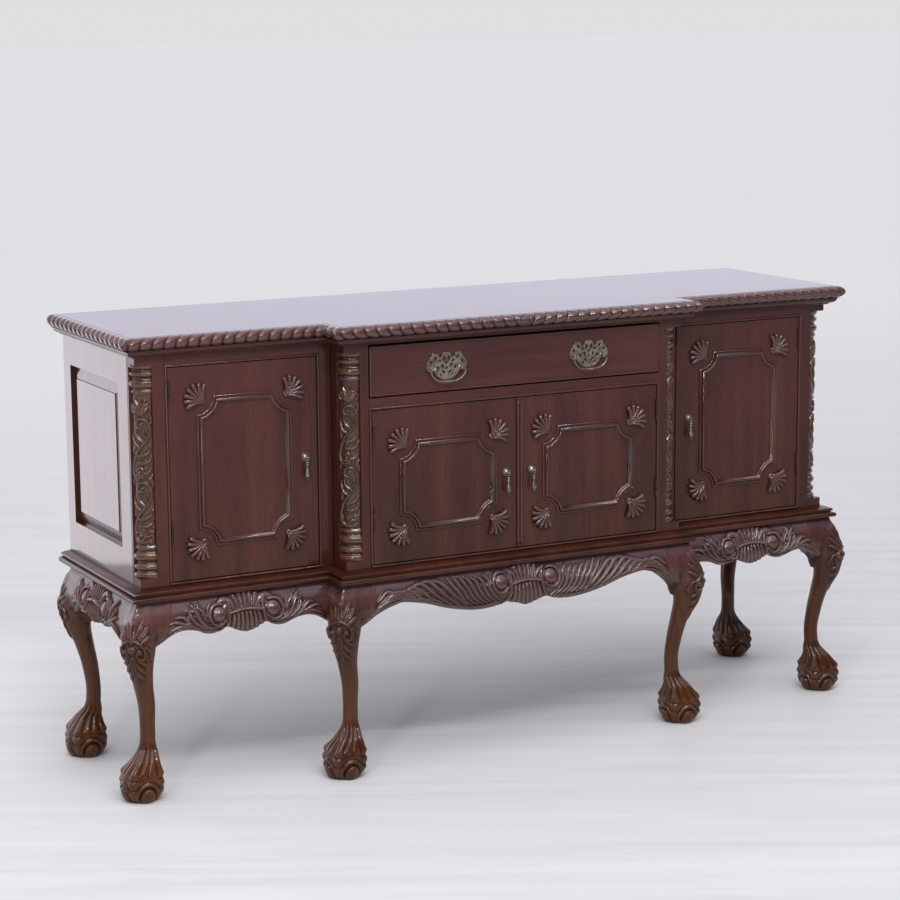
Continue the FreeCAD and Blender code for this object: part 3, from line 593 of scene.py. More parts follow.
# Half of each apron's scalloped lower edge: (distance from the middle, height).
SIDE_BAY_EDGE = [
    (209, 334), (200, 337), (187, 345), (178, 351), (168, 357), (154, 362), (137, 364), (112, 360),
    (92, 351.5), (74, 350), (58, 355), (47, 361), (34, 357), (20, 350), (0, 344.5)]
CENTRE_EDGE = [
    (410, 334), (400, 338), (388, 346), (378, 353), (366, 361), (348, 369), (325, 376), (300, 380),
    (250, 371), (200, 355), (150, 344), (110, 340.5), (75, 344), (52, 351.5), (38, 348), (22, 345), (0, 338)]
END_EDGE = [
    (153, 334), (144, 337), (131, 345), (122, 351), (112, 357), (95, 361), (78, 356), (62, 351), (48, 355),
    (40, 359), (22, 352), (0, 346)]


def lower_edge(edge, across):
    """The scalloped lower edge's height, the same both sides of the middle."""
    line = smooth_line([(-far, high) for far, high in edge] + edge[-2::-1], 400)
    return np.interp(across, line[:, 0], line[:, 1])


def shell_and_scrolls(r, foot, eye_out, eye_up):
    """What the middle of every apron has: a fan above and below a ribbon, between two scroll eyes."""
    r.strokes("bar", (30, 2, (0, 388), (34, 386)), (4.6, 10.5, (0, 396), (18, 395), (36, 391)))
    for start, tip, drop in ((0, 0, 0), (9, 11, 2), (18, 22, 5), (27, 33, 12)):
        r.stroke("ray", 6.4, 8.0, (start, 389), ((start + tip) / 2, 372), (tip, foot + 5 + drop))
    for start, tip, rise in ((0, 0, 428), (8, 12, 427), (16, 25, 423), (24, 38, 415)):
        r.stroke("ray", 5.6, 7.0, (start, 398), ((start + tip) / 2, 410), (tip, rise))
    r.stroke("bar", 3.6, 8.0, (44, 420), (38, 404), (40, 384), (42, 368), (56, foot + 12), (74, foot + 11))
    r.dome((eye_out, eye_up), 16.5, 9.5)
    r.stroke("comma", 4.6, 8.5, (48, eye_up - 14), (60, eye_up - 23), (76, eye_up - 19), (84, eye_up - 2),
             (78, eye_up + 15), (66, eye_up + 21), (52, eye_up + 19))


def rim_bead(r, edge, size, above, places):
    """A bead that follows the scalloped edge."""
    r.stroke("tail", size, size, *((far, lower_edge(edge, far) + above) for far in places))


def side_bay_carving(r, edge):
    r.strokes("tail", (15, 2.6, (60, 372), (100, 382), (140, 384), (172, 372)))
    r.strokes("comma", (7, 7, (30, 398), (34, 414), (50, 418), (62, 412)),
              (5.5, 7.5, (58, 364), (84, 364), (104, 380), (112, 402), (122, 416)))
    r.strokes(
        "leaf", (4.5, 7, (82, 362), (106, 370), (124, 388), (126, 404)),
        (4.2, 6, (92, 384), (98, 398), (108, 410), (104, 420)),
        (4.8, 6.5, (96, 362), (124, 374), (142, 392), (160, 392)),
        (4.2, 6, (112, 366), (140, 378), (160, 384), (176, 380)),
        (4, 5.5, (124, 370), (150, 374), (168, 368), (182, 358)),
        (3.6, 5, (104, 396), (118, 402), (134, 404)))
    shell_and_scrolls(r, 345, 62, 390)
    rim_bead(r, edge, 4.5, 5, (70, 100, 137, 165, 190))
    r.groove(1.3, 2.2, (62, 372), (90, 376), (108, 396), (118, 410))
    r.groove(1.3, 2.2, (100, 364), (126, 377), (150, 390))


def end_carving(r, edge):
    r.strokes("tail", (16, 2.6, (50, 376), (90, 386), (130, 376)))
    r.strokes("comma", (7, 7, (28, 398), (32, 414), (48, 420), (60, 412)),
              (6, 7.5, (58, 366), (82, 366), (98, 384), (104, 404), (116, 416)))
    r.strokes(
        "leaf", (5, 7, (80, 366), (104, 376), (118, 394), (116, 408)),
        (4.6, 6.5, (88, 366), (112, 376), (128, 386), (140, 384)),
        (4.4, 6, (98, 370), (120, 370), (136, 362), (146, 350)), (4, 5.5, (90, 388), (96, 404), (108, 414)))
    shell_and_scrolls(r, 348, 60, 391)
    rim_bead(r, edge, 4.5, 5, (60, 80, 100, 125, 145))


def centre_carving(r, edge):
    r.strokes("tail", (24, 2.8, (60, 378), (120, 378), (200, 388), (290, 402), (350, 390)))
    shell_and_scrolls(r, 339, 63, 397)
    for k in range(7):
        start = 66 + 13 * k
        r.stroke("comma", 4.6, 6.5, (start - 6, 353 + k * 0.4), (start + 12, 366), (start + 26, 388),
                 (start + 28 + 2 * k, 404), (start + 38 + 2 * k, 417 - 5 * math.sin(k * 0.9)))
        start = 150 + 21 * k
        rise = 4 * math.sin(k * 1.1)
        r.stroke("comma", 5.0, 6.5, (start, lower_edge(edge, start) + 11), (start + 26, 378 + k * 1.5),
                 (start + 46, 398 + k * 0.5), (start + 66, 414 + rise - k * 1.6),
                 (start + 88, 418 + rise - k * 5))
    for k in range(4):
        r.stroke("leaf", 4.2, 5.5, (236 + 14 * k, 392 - 2 * k), (290 + 12 * k, 402 - 4 * k),
                 (336 + 10 * k, 398 - 9 * k), (360 + 8 * k, 386 - 10 * k))
    rim_bead(r, edge, 5.5, 6, range(70, 391, 32))


APRON_PITCH, APRON_ROWS, APRON_DEPTH, EDGE_ROUND = 1.25, 88, 22.0, 4.0
APRON_SIDE = 865.0


def apron_points(edge, carving):
    """An apron's closed loops in (along, out from the carcass, height)."""
    far = edge[0][0]
    along = np.linspace(-far, far, int(2 * far / APRON_PITCH))
    low = lower_edge(edge, along)
    share = np.linspace(0, 1, APRON_ROWS)
    z = low[:, None] + (STAND_TOP - low[:, None]) * share
    across = np.broadcast_to(along[:, None], z.shape)
    relief = Relief(np.abs(across), z)
    carving(relief, edge)
    raised = relief.height * ramp(z - low[:, None], -1.5, 3)
    rim = 1 - ramp(z - low[:, None], 0, EDGE_ROUND)
    out = between(FACE_OUT, z) + raised - 3.0 * rim ** 2
    front = np.stack([across, out, z], -1)
    back = np.full_like(along, -APRON_DEPTH)
    top = np.stack([along, back, np.full_like(along, STAND_TOP)], -1)[:, None]
    foot = np.stack([along, back, low], -1)[:, None]
    under = np.stack([along, out[:, 0] - 5, low - 0.4], -1)[:, None]
    return np.concatenate([front, top, foot, under], 1)


def make_aprons():
    bay = apron_points(SIDE_BAY_EDGE, side_bay_carving)
    end = apron_points(END_EDGE, end_carving)
    centre = apron_points(CENTRE_EDGE, centre_carving)
    for word, side in SIDES:
        low, high = corners(f"{word}_front_apron")
        place = (low[0] + high[0]) / 2, corners(f"{word}_outer_post")[0][1], 0
        name = f"{word}_front_apron"
        carved(f"carved_{name}", Shape().loft(bay * (1, -1, 1) + place), STAND_FLAT, name)
        name = f"{word}_side_apron"
        low, high = corners(name)
        place = side * APRON_SIDE, (low[1] + high[1]) / 2, 0
        carved(f"carved_{name}", Shape().loft(end[..., (1, 0, 2)] * (side, -1, 1) + place), STAND, name)
    place = 0, corners("left_inner_post")[0][1], 0
    carved("carved_centre_front_apron", Shape().loft(centre * (1, -1, 1) + place), STAND_FLAT,
           "centre_front_apron")


# -------- mouldings round the case

def front_path(out):
    """The breakfront's outline, seen from above, a distance outside the carcass."""
    outer, inner = corners("left_outer_post")[0], corners("left_inner_post")[0]
    back = corners("side_frames")[1][1]
    x, y = -outer[0] + out, outer[1] - out
    step_x, step_y = -inner[0] + out, inner[1] - out
    half = [(-x, back), (-x, y), (-step_x, y), (-step_x, step_y)]
    return np.array(half + [(-a, b) for a, b in reversed(half)])


def run_moulding(outline, steps=1):
    """Loops of an outline of (out, height) rows carried round the breakfront."""
    paths = [front_path(out) for out, _ in outline]
    heights = [height for _, height in outline]
    loops = []
    for leg in range(7):
        for share in np.linspace(0, 1, steps + 1)[:None if leg == 6 else -1]:
            loops.append([(*(path[leg] + (path[leg + 1] - path[leg]) * share), height)
                          for path, height in zip(paths, heights)])
    return loops


# The gadroon border: the lobes' pitch, how far they slant, the step along it, and which way they lean
# on each of its seven runs. The boss in the middle of the front run has this radius.
LOBE_PITCH, LOBE_SLANT, LOBE_STEP = 26.0, 0.62, 1.25
LOBE_LEAN = (-1, 1, 1, 0, -1, -1, 1)
FRONT_RUN, BOSS = 3, 11.0
LOBE_MIDDLE, LOBE_FOOT, LOBE_TOP = 971.5, 958.2, 984.6


def gadroon_loops():
    """A border of slanting rounded lobes, leaning away from a round boss at the middle of the front."""
    turn = np.linspace(0, 1, 34)
    angle = math.pi * (0.5 - turn)
    body_out = 14 + 17.5 * np.cos(angle) ** 0.8
    body_up = LOBE_MIDDLE + 13.5 * np.sin(angle)
    slant = LOBE_SLANT * (1 - turn)
    loops = []
    base = front_path(0.0)
    spread = front_path(1.0) - base
    for leg, lean in enumerate(LOBE_LEAN):
        length = np.linalg.norm(base[leg + 1] - base[leg])
        count = max(int(length / LOBE_STEP), 12)
        lobes = max(round(length / LOBE_PITCH), 1)
        for share in np.linspace(0, 1, count + 1)[:None if leg == 6 else -1]:
            from_middle = (share - 0.5) * length
            phase = share * lobes - lean * slant
            if leg == FRONT_RUN:
                phase = abs(from_middle) / LOBE_PITCH - 0.5 - slant
                phase = np.where(abs(from_middle) < LOBE_PITCH * 0.45, 0.5, phase)
            part = (phase + 1000) % 1 - 0.5
            lobe = np.sqrt(np.clip(1 - (2 * part) ** 2 * 0.96, 0, 1))
            grow = (lobe - 0.47) * 9.6 * np.sin(math.pi * np.clip(turn * 0.96 + 0.02, 0, 1)) ** 0.45
            if leg == FRONT_RUN:
                far = np.hypot(from_middle, body_up - LOBE_MIDDLE) / BOSS
                grow = np.where(far < 1, 4.0 * np.sqrt(np.clip(1 - far ** 2, 0, 1)) + 0.5, grow)
            out = np.append(body_out + grow * np.maximum(np.cos(angle), 0.25), (8, 8))[:, None]
            up = np.clip(body_up + grow * np.sin(angle) * 0.35, LOBE_FOOT, LOBE_TOP)
            start, end = base[leg] + spread[leg] * out, base[leg + 1] + spread[leg + 1] * out
            up = np.append(up, (LOBE_FOOT, LOBE_TOP))
            loops.append(np.column_stack([start + (end - start) * share, up]))
    return loops


# Sections of the mouldings: rows of (out from the carcass, height).
COVE_OUTLINE = [
    (0, 941), (4, 941), (6.5, 941.6), (8, 943), (8, 944.5), (11, 945), (15.5, 946.5), (19.5, 949.5),
    (22, 953.5), (22.6, 956.5), (25, 957), (27, 957.4), (27, 958.2), (0, 958.2)]
WAIST_OUTLINE = [
    (0, 430), (24, 430), (26.6, 430.8), (28, 432.8), (28.4, 435.5), (27.8, 438.2), (26, 440.2), (23.4, 441),
    (20.2, 441.2), (18.4, 442.4), (18.4, 443.8), (21, 444.6), (22.2, 446.2), (22.2, 448.2), (21, 450),
    (17, 451.2), (12, 452.2), (7, 453), (0, 453.5)]


def make_case_mouldings():
    carved("gadroon_border", Shape().loft(gadroon_loops()), SHELL, "gadroon_moulding")
    for word, outline in (("cove", COVE_OUTLINE), ("waist", WAIST_OUTLINE)):
        new_piece(f"moulded_{word}", Shape().loft(run_moulding(outline, 6)), "carcass", "mahogany",
                  WOOD["all"], f"{word}_moulding", crisp=35)


def bead_loops(x, z, front, back, width, proud):
    """A rectangular ring round an opening whose front edge is rounded."""
    outline = [(0, back), (0, front)]
    outline += [(width * share, front - proud * math.sin(math.pi * (0.12 + 0.76 * share)))
                for share in np.linspace(0.04, 0.96, 7)]
    outline += [(width, front), (width, back)]
    loops = []
    for a, b in ((0, 0), (0, 1), (1, 1), (1, 0)):
        loops.append([(x[a] + (1 - 2 * a) * inset, y, z[b] + (1 - 2 * b) * inset) for inset, y in outline])
    return loops


def make_beads():
    """Cock beads round the door openings, and one that moves with the drawer front."""
    shape = Shape()
    inner, outer = corners("left_inner_post"), corners("left_outer_post")
    stile = corners("inner_stiles")
    low = corners("bottom_board")[1][2]
    rail, dust = corners("top_rails")[0][2], corners("dust_board")[0][2]
    bays = [(sorted((side * stile[1][0], side * -outer[1][0])), rail, outer[0][1]) for side in (-1, 1)]
    bays.append(((inner[1][0], -inner[1][0]), dust, inner[0][1]))
    for x, high, front in bays:
        shape.loft(bead_loops(x, (low, high), front, front + 20, 5, 3.4), close=True)
    new_piece("rounded_cock_beads", shape, "carcass", "mahogany", POLISHED["up"], "cock_beads", crisp=35)
    low, high = corners("drawer_front")
    ring = bead_loops((low[0], high[0]), (low[2], high[2]), low[1] + 0.5, low[1] + 3, 4, 3.0)
    new_piece("drawer_bead", Shape().loft(ring, close=True), "drawer", "mahogany", POLISHED["across"],
              crisp=35)


# A fielded panel's section: rows of (distance in from its edge, depth from the outer face).
FIELD_SECTION = [(0, -22), (0, -11), (2, -11), (27.0, -4), (27.4, -2.5), (28.6, -2)]


def make_side_panels():
    """A fielded panel in each end: a raised field with sloping margins."""
    low, high = corners("side_panels")
    shape = Shape()
    for side in (-1, 1):
        loops = []
        for inset, depth in FIELD_SECTION:
            x = side * (high[0] + 2) + side * depth
            y, z = (low[1] + inset, high[1] - inset), (low[2] + inset, high[2] - inset)
            loops.append([(x, y[a], z[b]) for a, b in SQUARE])
        shape.loft(loops)
    new_piece("fielded_side_panels", shape, "carcass", "mahogany", POLISHED["up"], "side_panels",
              smooth=False)


# -------- door ornaments

# Each door's panel moulding: its outer edges along x and z.
PANELS = {"left_door": ((-732, -516), (531, 851)), "right_door": ((516, 732), (531, 851)),
          "left_centre_door": ((-294, -56), (527, 728)), "right_centre_door": ((60, 298), (527, 728))}
PANEL_ARC = 38.0
# The panel moulding's section: rows of (distance in from its outer edge, height above the door).
PANEL_SECTION = [
    (0, -0.5), (0, 2.2), (0.9, 3.7), (2.4, 4.3), (3.8, 3.6), (4.6, 2), (5.4, 2), (6.1, 4.8), (7.4, 7.2),
    (9.3, 8.4), (11.4, 8), (13.2, 5.8), (14.2, 3.2), (15.2, 1.9), (15.8, 1.6), (16, -0.5)]
SHELL_RIBS = 7


def panel_corner(x, z, way_x, way_z, inset, steps=9):
    """Points round one hollow corner of a panel, from its upright edge to its level one."""
    radius = PANEL_ARC + inset
    least = math.asin(max(inset, 0) / radius)
    for angle in np.linspace(math.pi / 2 - least, least, steps):
        yield x + way_x * radius * math.cos(angle), z + way_z * radius * math.sin(angle)


def panel_moulding(shape, x, z, front):
    """A bolection moulding with hollow corners; the section is mitred where its lines meet."""
    rings = []
    for inset, proud in PANEL_SECTION:
        ring = []
        for a, b in SQUARE:
            way_x, way_z = 1 - 2 * a, 1 - 2 * b
            arc = [(u, front - proud, v) for u, v in panel_corner(x[a], z[b], way_x, way_z, inset)]
            ring += arc[::way_x * way_z]
        rings.append(ring)
    shape.loft(np.swapaxes(np.array(rings), 0, 1), close=True)


def carved_shell(shape, apex, middle, front):
    """A fan of ribs from a boss at the apex, opening round a middle angle."""
    for rib in range(SHELL_RIBS):
        share = rib / (SHELL_RIBS - 1) * 2 - 1
        angle = middle + share * math.radians(40)
        length = 48 - 8.0 * abs(share) ** 2
        bend = share * math.radians(16)
        line, radii = [], []
        for t in np.linspace(0, 1, 15):
            turn = angle + bend * t * t
            far = 5 + (length - 5) * t
            lift = 2.0 + 5.2 * math.sin(math.pi * min(t * 0.74 + 0.1, 1)) - 1.6 * t
            line.append((apex[0] + far * math.cos(turn), front - lift, apex[1] + far * math.sin(turn)))
            radii.append((1.9 + 3.6 * t) * math.sqrt(max(1 - max((t - 0.84) / 0.165, 0) ** 2, 0.02)))
        shape.tube(line, radii, sides=12, flat=1.3)
    shape.lathe([(0.5, 8.5), (-2, 8.2), (-4.4, 6.0), (-5.6, 0.6)],
                (apex[0] + 5 * math.cos(middle), front, apex[1] + 5 * math.sin(middle)), "y", 20)


def make_door_ornaments():
    for door in DOORS:
        face = corners(door)[0][1]
        moulding, shells = Shape(), Shape()
        panel_moulding(moulding, *PANELS[door], face)
        for x, way_x in zip(PANELS[door][0], (-1, 1)):
            for z, way_z in zip(PANELS[door][1], (-1, 1)):
                opening = math.atan2(way_z * 0.65, way_x * 0.76)
                carved_shell(shells, (x - way_x * 15, z - way_z * 13), opening, face)
        new_piece(f"{door}_panel_moulding", moulding, door, "carved_mahogany", POLISHED["up"], crisp=55)
        carved(f"{door}_shells", shells, SHELL, f"{door}_ornament", body=door)


# -------- quarter columns

# A column's turned outline: rows of (height, radius).
COLUMN_SECTION = [
    (475, 37), (480, 37.4), (484, 36.6), (487, 33.5), (489, 32), (491, 33), (494, 36), (498, 36.8),
    (502, 35.4), (505, 32.2), (507, 31), (510, 31.4), (513, 34.5), (518, 37), (523, 36.6), (528, 33),
    (531, 31), (534, 31.4), (537, 33.6), (540, 33.8), (543, 32), (546, 30.8), (862, 30.8), (864, 32),
    (867, 33.8), (870, 33.6), (873, 31.2), (876, 32), (879, 35.6), (884, 37), (889, 36), (893, 32),
    (896, 31), (899, 32.4), (903, 36), (907, 36.4), (910, 34), (912, 31.6), (915, 32.6), (918, 36),
    (922, 37.2), (926, 37)]
# Where each turn of the vine starts, in mm above the floor.
TURNS = 578, 712


def column_carving(across, z):
    """Two turns of a climbing vine between a leaf at the foot and one at the head."""
    r = Relief(across, z)
    for start in TURNS:
        r.strokes(
            "bar",
            (2.9, 4.6, (-22, 6), (-12, 26), (4, 44), (18, 62), (21, 84), (10, 98), (-4, 98), (-11, 89),
             (-8, 80), (0, 80)),
            (2.8, 4.4, (-22, 6), (-25, -12), (-16, -26), (-2, -24), (4, -13), (-2, -4), (-9, -8)),
            lift=start)
        r.strokes(
            "leaf", (4, 4, (-16, 22), (2, 22), (18, 30), (25, 44)),
            (3.7, 3.8, (-12, 8), (6, 6), (20, 12), (26, 24)),
            (3.4, 3.6, (2, -14), (14, -14), (23, -4), (25, 6)),
            (3.7, 3.8, (-4, 40), (-16, 46), (-23, 60), (-22, 74)),
            (3.5, 3.6, (6, 50), (-6, 58), (-12, 70), (-10, 80)),
            (3.6, 3.4, (-24, 26), (-20, 36), (-24, 46)), (3.6, 3.4, (24, 88), (26, 100), (20, 112)),
            (3.8, 3.6, (8, 104), (0, 112), (-14, 114), (-22, 106)), (2.8, 3.4, (12, 58), (6, 70), (8, 80)),
            (2.8, 3.2, (-18, -22), (-24, -30), (-25, -40)), (3, 3.4, (14, -30), (22, -24), (26, -16)),
            (2.8, 3.2, (-6, 14), (-4, 22), (2, 30)), lift=start)
        for x, up, size, tall in ((-4, -13, 4.5, 5), (1, 87, 4, 5), (22, 70, 2.2, 3.2), (17, 83, 2.2, 3.2),
                                  (12, 96, 2.2, 3.2)):
            r.dome((x, start + up), size, tall)
    r.strokes(
        "bar", (2.8, 4.4, (-20, 572), (-16, 556), (0, 550), (16, 555), (22, 566), (16, 574), (8, 568)),
        (2.8, 4.4, (-22, 824), (-24, 836), (-14, 842), (-8, 834)),
        (2.8, 4.4, (22, 824), (24, 836), (14, 842), (8, 834)))
    r.stroke("leaf", 4.6, 4.0, (-8, 562), (0, 572), (4, 584))
    for way in np.radians((-52, -26, 0, 26, 52)):
        r.stroke("leaf", 5.2, 4.6, *((far * math.sin(way), 820 + rise * math.cos(way))
                                     for far, rise in ((0, 0), (16, 18), (30, 36))))
    return r.height * ramp(z, 545, 550) * ramp(863 - z, 0, 5) * ramp(28.5 - np.abs(across), -1, 3)


def make_columns():
    spans = (475, 546, 60), (547, 861, 290), (862, 926, 56)
    heights = np.concatenate([np.linspace(*span) for span in spans])
    turn = np.linspace(0, math.pi / 2, 58)
    z, angle = np.meshgrid(heights, turn, indexing="ij")
    radius = between(COLUMN_SECTION, z)
    radius = np.minimum(radius + column_carving((angle - math.pi / 4) * 35, z), 38.5)
    a, b = radius * np.cos(angle), radius * np.sin(angle)
    axis = np.stack([0 * heights, 0 * heights, heights], -1)[:, None]
    loops = np.concatenate([np.stack([a, b, z], -1), axis], 1)
    for word, side in SIDES:
        for place in ("outer", "inner"):
            name = f"{word}_{place}_column"
            low, high = corners(name)
            points = loops * (side, -1, 1) + (low[0] if side > 0 else high[0], high[1], 0)
            carved(f"carved_{name}", Shape().loft(points), COLUMN, name)


# -------- metalwork

# Lathe outlines: rows of (place along the axis, radius), from a face or from a pin.
PLATE_TURNED = [
    (0.2, 9.5), (-1.2, 9.5), (-2, 9), (-2.2, 7.4), (-3.6, 6.6), (-5.6, 5), (-6.8, 3.2), (-7.4, 2.4),
    (-12.6, 2.2), (-13.6, 1.6), (-14, 0.4)]
DROP_TURNED = [
    (-3.6, 0.6), (-4, 4.6), (-5.4, 5), (-6.6, 4.2), (-7.4, 2.4), (-8.6, 2), (-9.6, 3.8), (-10.8, 4.3),
    (-12, 3.6), (-13, 2), (-14.2, 1.8), (-15.4, 3.2), (-16.4, 3.4), (-17.4, 2.4), (-19.5, 2.4), (-24, 3.2),
    (-30, 4.6), (-34.5, 5.8), (-38, 6.1), (-41, 5.4), (-43, 3.8), (-44, 2), (-45, 1.9), (-46, 2.5),
    (-47.2, 2.1), (-48, 0.5)]
POST_TURNED = [
    (0, 4.6), (-2.6, 4.6), (-3.4, 3.4), (-4.6, 2.9), (-7.6, 2.9), (-8.6, 3.4), (-11, 3.9), (-13.4, 3.3),
    (-14.6, 1.6), (-14.9, 0.4)]
PIN_TURNED = [(-1.5, 2.2), (-3.0, 2.0), (-3.6, 1.0), (-3.7, 0.2)]
SCREW_TURNED = [(0, 2.2), (0.75, 2.0), (0.9, 0.3)]
# How far each pull's cross pin stands out, each post's distance from its bail's middle, and their pivot.
PULL_PIN, BAIL_HALF, BAIL_OUT, BAIL_HEIGHT = 12, 33, 11, 877.0


def make_pulls():
    """Each door has a domed plate, and a drop of rings, pear and finial that swings on its pin."""
    for door in DOORS:
        low, high = corners(f"{door}_rosette")
        x, _, pin = (low + high) / 2
        face = corners(door)[0][1]
        axis = x, face - PULL_PIN, pin
        plate = Shape().lathe(PLATE_TURNED, (x, face, pin), "y", 36)
        plate.lathe([(-4.6, 0.8), (4.6, 0.8)], axis, "x", 12)
        brass(f"{door}_domed_plate", plate, door, f"{door}_rosette", crisp=50)
        drop = Shape()
        for way in (-1, 1):
            ear = [(way * 3.7 + x, axis[1], pin + up) for up in (1.8, 0, -2.5, -5)]
            drop.tube(ear, [1.0, 1.5, 1.3, 1.2], sides=10, flat=0.8)
        drop.lathe(DROP_TURNED, axis, "z", 28)
        brass(f"{door}_pear_drop", drop, f"{door}_drop", f"{door}_drop", crisp=50)


def brass(name, shape, body, *stands_for, material=None, crisp=None):
    new_piece(name, shape, body, "antique_brass", material or BRASS, *stands_for, crisp=crisp)


# Half of a pierced backplate's outline, its paired openings and its middle ones, in (across, up).
PLATE_EDGE = [
    (0, 30), (6, 29.5), (10, 26), (11, 21), (15, 18.5), (19, 21), (21, 26), (25, 28.6), (30, 27.4),
    (32, 29.6), (35.5, 28), (36, 23.5), (40, 20), (43.5, 14), (47.5, 9), (49, 2), (47.5, -5), (43, -9.5),
    (38, -11), (33, -9), (30, -12.5), (25.5, -19), (19, -24.5), (11, -28.5), (4, -30), (0, -30)]
PAIRED_HOLES = [
    [(5, 10), (9, 14), (9, 20), (5.5, 23), (3, 18)], [(14, 8), (19, 11), (18, 15), (13, 13)],
    [(25, 14), (30, 17), (31, 22), (27, 22), (23, 18)], [(37, 5), (41, 8), (40, 13), (35.5, 12)],
    [(8, -4), (13, -1), (14, 4), (9, 4)], [(20, -8), (24, -4), (23, 2), (18, -2)],
    [(4.5, -16), (9, -15), (13, -10.5), (9.5, -9.5), (5, -12)],
    [(12, -22), (17, -18), (15.5, -15.5), (11.5, -18)]]
MIDDLE_HOLES = [[(0, 3), (3, 7.5), (0, 12), (-3, 7.5)], [(0, -8), (2.4, -4), (0, 0), (-2.4, -4)]]


def make_bail_plates():
    """Pierced plates of two bats' wings, with the two posts that carry each bail."""
    edge = np.array(PLATE_EDGE, float)
    rings = [smooth_ring(np.concatenate([edge, edge[-2:0:-1] * (-1, 1)]), 6)]
    rings += [smooth_ring(np.array(hole) * (way, 1), 4) for hole in PAIRED_HOLES for way in (1, -1)]
    rings += [smooth_ring(np.array(hole), 5) for hole in MIDDLE_HOLES]
    low, high = corners("bail_plates")
    face = corners("drawer_front")[0][1]
    up = (low[2] + high[2]) / 2
    shape = Shape()
    for word, _ in SIDES:
        low, high = corners(f"{word}_bail")
        middle = (low[0] + high[0]) / 2
        flat_plate(shape, rings, (middle, face - 1.3, up))
        for way in (-1, 1):
            shape.lathe(POST_TURNED, (middle + way * BAIL_HALF, face, BAIL_HEIGHT), "y", 24)
        for across, height in ((0, 22), (0, -18), (-40, -2), (40, -2)):
            shape.lathe(PIN_TURNED, (middle + across, face, up + height), "y", 16)
    brass("pierced_bail_plates", shape, "drawer", "bail_plates", crisp=40)


def smooth_ring(points, steps):
    line = smooth_line(np.vstack([points[-1:], points, points[:2]]), steps * (len(points) + 2) + 1)
    return line[steps:-steps - 1]


def flat_plate(shape, rings, centre):
    """A pierced plate with a rounded edge, filled by a flat curve."""
    curve = bpy.data.curves.new("plate", "CURVE")
    curve.dimensions = "2D"
    curve.fill_mode = "BOTH"
    curve.extrude, curve.bevel_depth, curve.bevel_resolution = 0.5, 0.7, 2
    curve.offset = -0.6
    for ring in rings:
        spline = curve.splines.new("POLY")
        spline.points.add(len(ring) - 1)
        weights = np.tile((0, 1), (len(ring), 1))
        spline.points.foreach_set("co", np.hstack([ring, weights]).ravel())
        spline.use_cyclic_u = True
    form = bpy.data.objects.new("plate", curve)
    link(form)
    mesh = bpy.data.meshes.new_from_object(form.evaluated_get(bpy.context.evaluated_depsgraph_get()))
    points = np.array([v.co for v in mesh.vertices])
    placed = np.column_stack([points[:, 0] + centre[0], centre[1] - points[:, 2], points[:, 1] + centre[2]])
    faces = {}
    for polygon in mesh.polygons:
        faces.setdefault(len(polygon.vertices), []).append(list(polygon.vertices))
    shape.add(placed, *(np.array(block) for block in faces.values()))
    bpy.data.objects.remove(form)
    bpy.data.curves.remove(curve)
    bpy.data.meshes.remove(mesh)


# Half of a bail's line from its pivot, in (across, up).
BAIL_LINE = [(BAIL_HALF, 0), (37, 0), (40, -1.6), (41, -5), (40.4, -10), (37, -16), (31, -21.5), (23, -25.4),
             (12, -27.2), (0, -27.6)]


def make_bails():
    for word, _ in SIDES:
        low, high = corners(f"{word}_bail")
        middle, face = (low[0] + high[0]) / 2, corners("drawer_front")[0][1]
        across, up = smooth_line([(-a, b) for a, b in BAIL_LINE] + BAIL_LINE[-2::-1], 90).T
        line = np.column_stack([across + middle, np.full(len(up), face - BAIL_OUT), up + BAIL_HEIGHT])
        t = np.linspace(-1, 1, len(line))
        radii = 1.5 + hump(t, 0, 0.3) + 0.5 * hump(np.abs(t), 0.62, 0.1)
        brass(f"{word}_bail_bar", Shape().tube(line, radii, sides=14), f"{word}_bail", f"{word}_bail")


# The heights of the hinges' middles on a side door and on a centre door.
SIDE_HINGES, CENTRE_HINGES = (865, 565), (740, 563)


def make_hinge_leaves():
    """The leaves let into each door's edge, with their screws."""
    for door in DOORS:
        low, high = corners(door)
        side = -1 if door.startswith("left") else 1
        edge, face = (low if side < 0 else high)[0], low[1]
        shape = Shape()
        for height in CENTRE_HINGES if "centre" in door else SIDE_HINGES:
            x, y = sorted((edge, edge + side * 0.6)), (face + 0.3, face + 14)
            shape.loft([[(x[a], y[b], height + up) for a, b in SQUARE] for up in (-25, 25)])
            for up, deep in ((-16, 10), (0, 6), (16, 10)):
                shape.lathe([(side * far, radius) for far, radius in SCREW_TURNED],
                            (edge, face + deep, height + up), "x", 14)
        brass(f"{door}_hinge_leaves", shape, door, material=DARK_BRASS, crisp=40)


# -------- plain parts that keep their CAD shape

def dress(material, *nodes):
    for node in nodes:
        slots = NODES[node].data.materials
        slots.clear()
        slots.append(material)


# The astragal: how long its rounded ends are, and how thick it is beside its raised middle.
STRIP_END, STRIP_LIP = 7.0, 0.35


